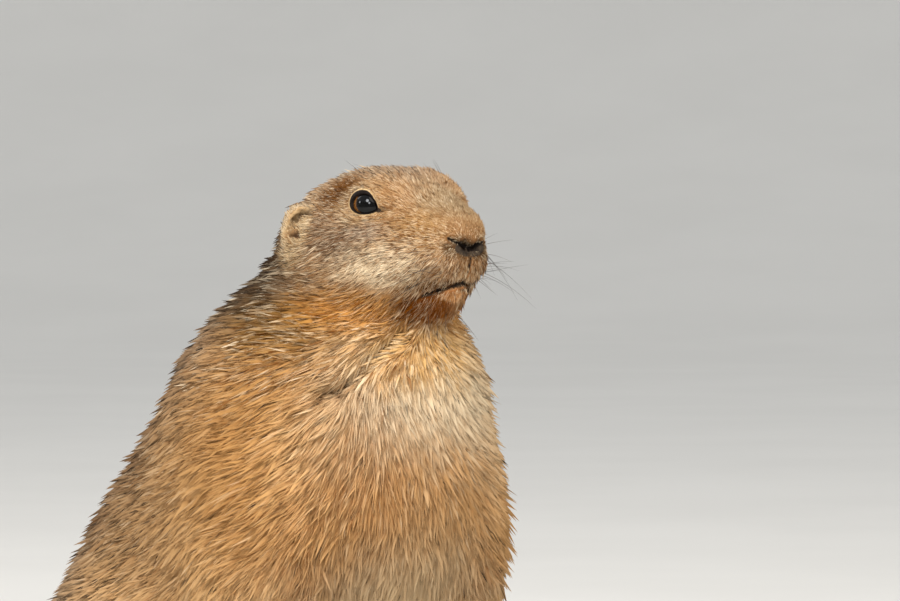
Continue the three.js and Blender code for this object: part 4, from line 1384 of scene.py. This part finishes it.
def parted_by_eyes(root, way):
    """Turns the hair that would run over an eye to either side of it."""
    for side in BOTH:
        centre, _, _, out = eye_rows(side)
        ring = round_eye(root, side)[-1]
        near = np.linalg.norm(root - centre, axis=1) < PARTED_NEAR * MM
        toward = unit(centre + out * (EYE_RADIUS * MM) - root)
        into = np.maximum((way * toward).sum(1), 0) * fades(1.2, 2.7, ring) * near
        way = unit(way - toward * (1.2 * into)[:, None])
    return way


def clear_of_eyes(places):
    """Moves the places that lie over an eye out to the edge of its lids."""
    for side in BOTH:
        centre, ahead, up, _ = eye_rows(side)
        off, x, y, z, ring = round_eye(places, side)
        edge = lid_margin(x, y) + LID_ROOM
        far = np.linalg.norm(off, axis=1)
        over = (z > 0) & (ring < edge) & (far < LIDS_REACH)
        push = (edge / np.maximum(ring, 0.05) - 1)[:, None]
        moved = off + (x[:, None] * ahead + y[:, None] * up) * push
        moved = unit(moved) * far[:, None]
        places = np.where(over[:, None], centre + moved * MM, places)
    return places


def tuft_lie(root, out, bare, lock_swirl, lock_lift, rng):
    """The way of each tuft, its length in metres, its lift in radians, and whether it strays."""
    count = len(root)
    way, length, lift = coat_at(root)
    swirl = ripple(root / MM, 3.4, 3) * 0.16 + ripple(root / MM, 14.0, 4) * 0.12
    swirl += rng.normal(0, 0.09, count) + 0.15 * lock_swirl
    way = parted_by_eyes(root, unit(way + unit(np.cross(out, way)) * swirl[:, None]))
    stray = rng.uniform(0, 1, count) < STRAY_SHARE
    length = length * rng.uniform(0.7, 1.15, count) * (1 - 0.7 * bare)
    length = length * np.where(stray, STRAY_LONGER, 1)
    length = np.minimum(length, above_mouth(root)) * MM
    lift = np.radians(lift) * (1 + 0.2 * lock_lift + rng.normal(0, 0.15, count))
    return way, length, np.clip(lift + stray * STRAY_LIFT, *LIFTS), stray


def tuft_shape(tree, root, out, lie, centres, lock, rng):
    """Where each tuft starts, is widest and ends, half its width, and the skin's way out there."""
    way, length, lift, stray = lie
    stride = length * 0.5 * np.cos(lift)
    first, first_out = along_skin(tree, root, out, way, stride)
    second, second_out = along_skin(tree, first, first_out, way, stride)
    tip = second + second_out * (length * np.sin(lift))[:, None]
    gather = (np.interp(length / MM, *GATHER) * ~stray)[:, None]
    tip += (tip[centres][lock] - tip) * gather
    start = root - out * (ROOT_DEPTH * MM)
    arch = np.clip(length * np.sin(lift) * ARCH, 0.06 * MM, 1.6 * MM)
    curl = rng.normal(0, 0.035, len(root)) * length
    side = unit(np.cross(first_out, tip - start))
    middle = start + (tip - start) * WIDEST + first_out * arch[:, None] + side * curl[:, None]
    low, high = np.array(cad_low), np.array(cad_high)
    high[2] += CROWN_ROOM * MM
    middle, tip = (clear_of_eyes(np.clip(places, low, high)) for places in (middle, tip))
    half = np.interp(length / MM, *HALF_WIDTH) * MM
    return {"root": start, "middle": middle, "tip": tip, "half": half, "out": first_out}


def region_of(root):
    """The region of the coat that each tuft belongs to."""
    spot, head = in_body(root), in_head(root)
    side = np.where(root[:, 0] > 0, "left", "right")
    names = np.char.add("flank_", side).astype("U24")
    names[spot[:, 1] > BACK_FROM] = "back"
    for base, where in (
        ("haunch_", spot[:, 2] < HAUNCH_TOP),
        ("chest_", (spot[:, 1] < CHEST_TO) & (spot[:, 2] >= HAUNCH_TOP)),
        ("neck_", spot[:, 2] > NECK_FROM),
        ("face_", (head[:, 1] < FACE_TO) & (head[:, 2] > FACE_LOW)),
    ):
        names[where] = np.char.add(base, side)[where]
    for name in ("ear_left", "ear_right"):
        low, high = (np.array(corner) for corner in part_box(name))
        names[np.all((root > low - MM) & (root < high + MM), axis=1)] = "ears"
    names[(spot[:, 2] < FEET_TOP) & (spot[:, 1] < FEET_TO)] = "feet"
    names[spot[:, 1] > TAIL_FROM] = "tail"
    names[spot[:, 1] > TAIL_TIP_FROM] = "tail_tip"
    return names


def grow_coat(skin, material):
    """The whole coat: its tufts' places and colours, and a few pieces for each of its regions."""
    rng = np.random.default_rng(SEED)
    mesh = skin.data
    tree = BVHTree.FromObject(skin, bpy.context.evaluated_depsgraph_get())
    bare = np.clip(mark_at(mesh, "thin") + 0.4 * mark_at(mesh, "lip"), 0, 1)
    density = root_density(places_of(mesh), normals_of(mesh), bare)
    root, out, uv, corners = sample_roots(mesh, density, rng)
    bare, pale, cleft = (
        mark[corners].mean(1) for mark in (bare, mark_at(mesh, "pale"), mark_at(mesh, "cleft"))
    )
    count = len(root)
    centres = rng.choice(count, count // HAIRS_IN_LOCK, replace=False)
    lock = lock_of(root, centres)
    lock_swirl, lock_lift, lock_tone = rng.normal(0, 1, (3, len(centres)))[:, lock]
    lie = tuft_lie(root, out, bare, lock_swirl, lock_lift, rng)
    tufts = tuft_shape(tree, root, out, lie, centres, lock, rng)
    tufts["tone"], tufts["dark"], tufts["cream"] = hair_ends(root, lock_tone, pale, cleft, rng)
    tufts["half"] *= rng.uniform(0.75, 1.25, count)
    tufts["uv"] = uv
    names = region_of(root)
    for region in sorted(set(names)):
        which = np.flatnonzero(names == region)
        pieces = np.array_split(which, math.ceil(len(which) / MOST_TUFTS))
        for part, chosen in enumerate(pieces):
            name = f"coat_{region}_{part + 1}"
            piece = tuft_mesh(name, {key: rows[chosen] for key, rows in tufts.items()})
            add_piece(name, piece, material, COAT_SLOTS.get(region, "body_fur"))


# Whiskers
WHISKER_RADIUS = 0.075
WHISKER_STEPS = 8


def whisker_rows(rng):
    """Where each whisker grows, its way, its length and how far its tip hangs down: those of
    the lip, the brow, the chin, the cheek and the throat, on each side."""
    for side in BOTH:
        for row in range(4):
            for n in range(5):
                place = (side * (7.5 + 0.5 * n), 4 + 2.6 * n, -4.5 - 2.3 * row + 0.3 * n)
                way = (side * rng.uniform(0.75, 1.1), rng.uniform(-0.45, 0.6), rng.uniform(-0.5, 0.2))
                yield place, way, rng.uniform(12, 25) - 1.5 * row, rng.uniform(0, 5)
        for n in range(4):
            way = (side * rng.uniform(0.15, 0.5), rng.uniform(0.7, 1.3), 0.8)
            place = (side * (10.5 + n), 22 + 2.5 * n, 18)
            yield place, way, rng.uniform(6, 10), rng.uniform(0, 2)
        for n in range(3):
            way = (side * rng.uniform(0.3, 0.9), -0.5, -0.8)
            yield (side * (2 + 2 * n), 8 + 2 * n, -22), way, rng.uniform(9, 14), 2
        for n in range(2):
            yield (side * (21 - n), 36 + 2 * n, -8 - 3 * n), (side, 0.3, -0.3), 14, 3
        yield (side * 4, 15, -26), (side * 0.2, -0.5, -1), 12, 1


def add_whiskers(skin):
    tree = BVHTree.FromObject(skin, bpy.context.evaluated_depsgraph_get())
    curve = new_curve("whiskers", WHISKER_RADIUS, 1)
    for place, way, long, droop in whisker_rows(np.random.default_rng(SEED + 1)):
        root = tree.find_nearest(Vector(on_head([place])[0]))[0]
        ahead = (head_place.to_3x3() @ Vector(way)).normalized()
        spline = curve.splines.new("POLY")
        spline.points.add(WHISKER_STEPS)
        for n, point in enumerate(spline.points):
            share = n / WHISKER_STEPS
            spot = root + ahead * (long * MM * share)
            spot.z -= droop * MM * share * share
            point.co = (*spot, 1)
            point.radius = 1 - 0.85 * share
    mesh = mesh_from_curve("whiskers", curve)
    material, tree, shader = new_material("prairie_dog_whisker", 0.4)
    grain = noise(tree, object_place(tree), 120.0)[0]
    colour = mottled(tree, grain, paint(40, 32, 26), paint(96, 78, 62))
    tree.links.new(colour, shader.inputs["Base Color"])
    add_piece("whiskers", mesh, material, "claw")


add_camera()
add_sky()
add_lights()
add_floor()
markings_group = make_markings_group(make_patch_group())
skin_piece = make_skin(skin_material(markings_group))
for eye_side in BOTH:
    add_eye(eye_side)
add_claws()
grow_coat(skin_piece, coat_material(markings_group))
add_whiskers(skin_piece)
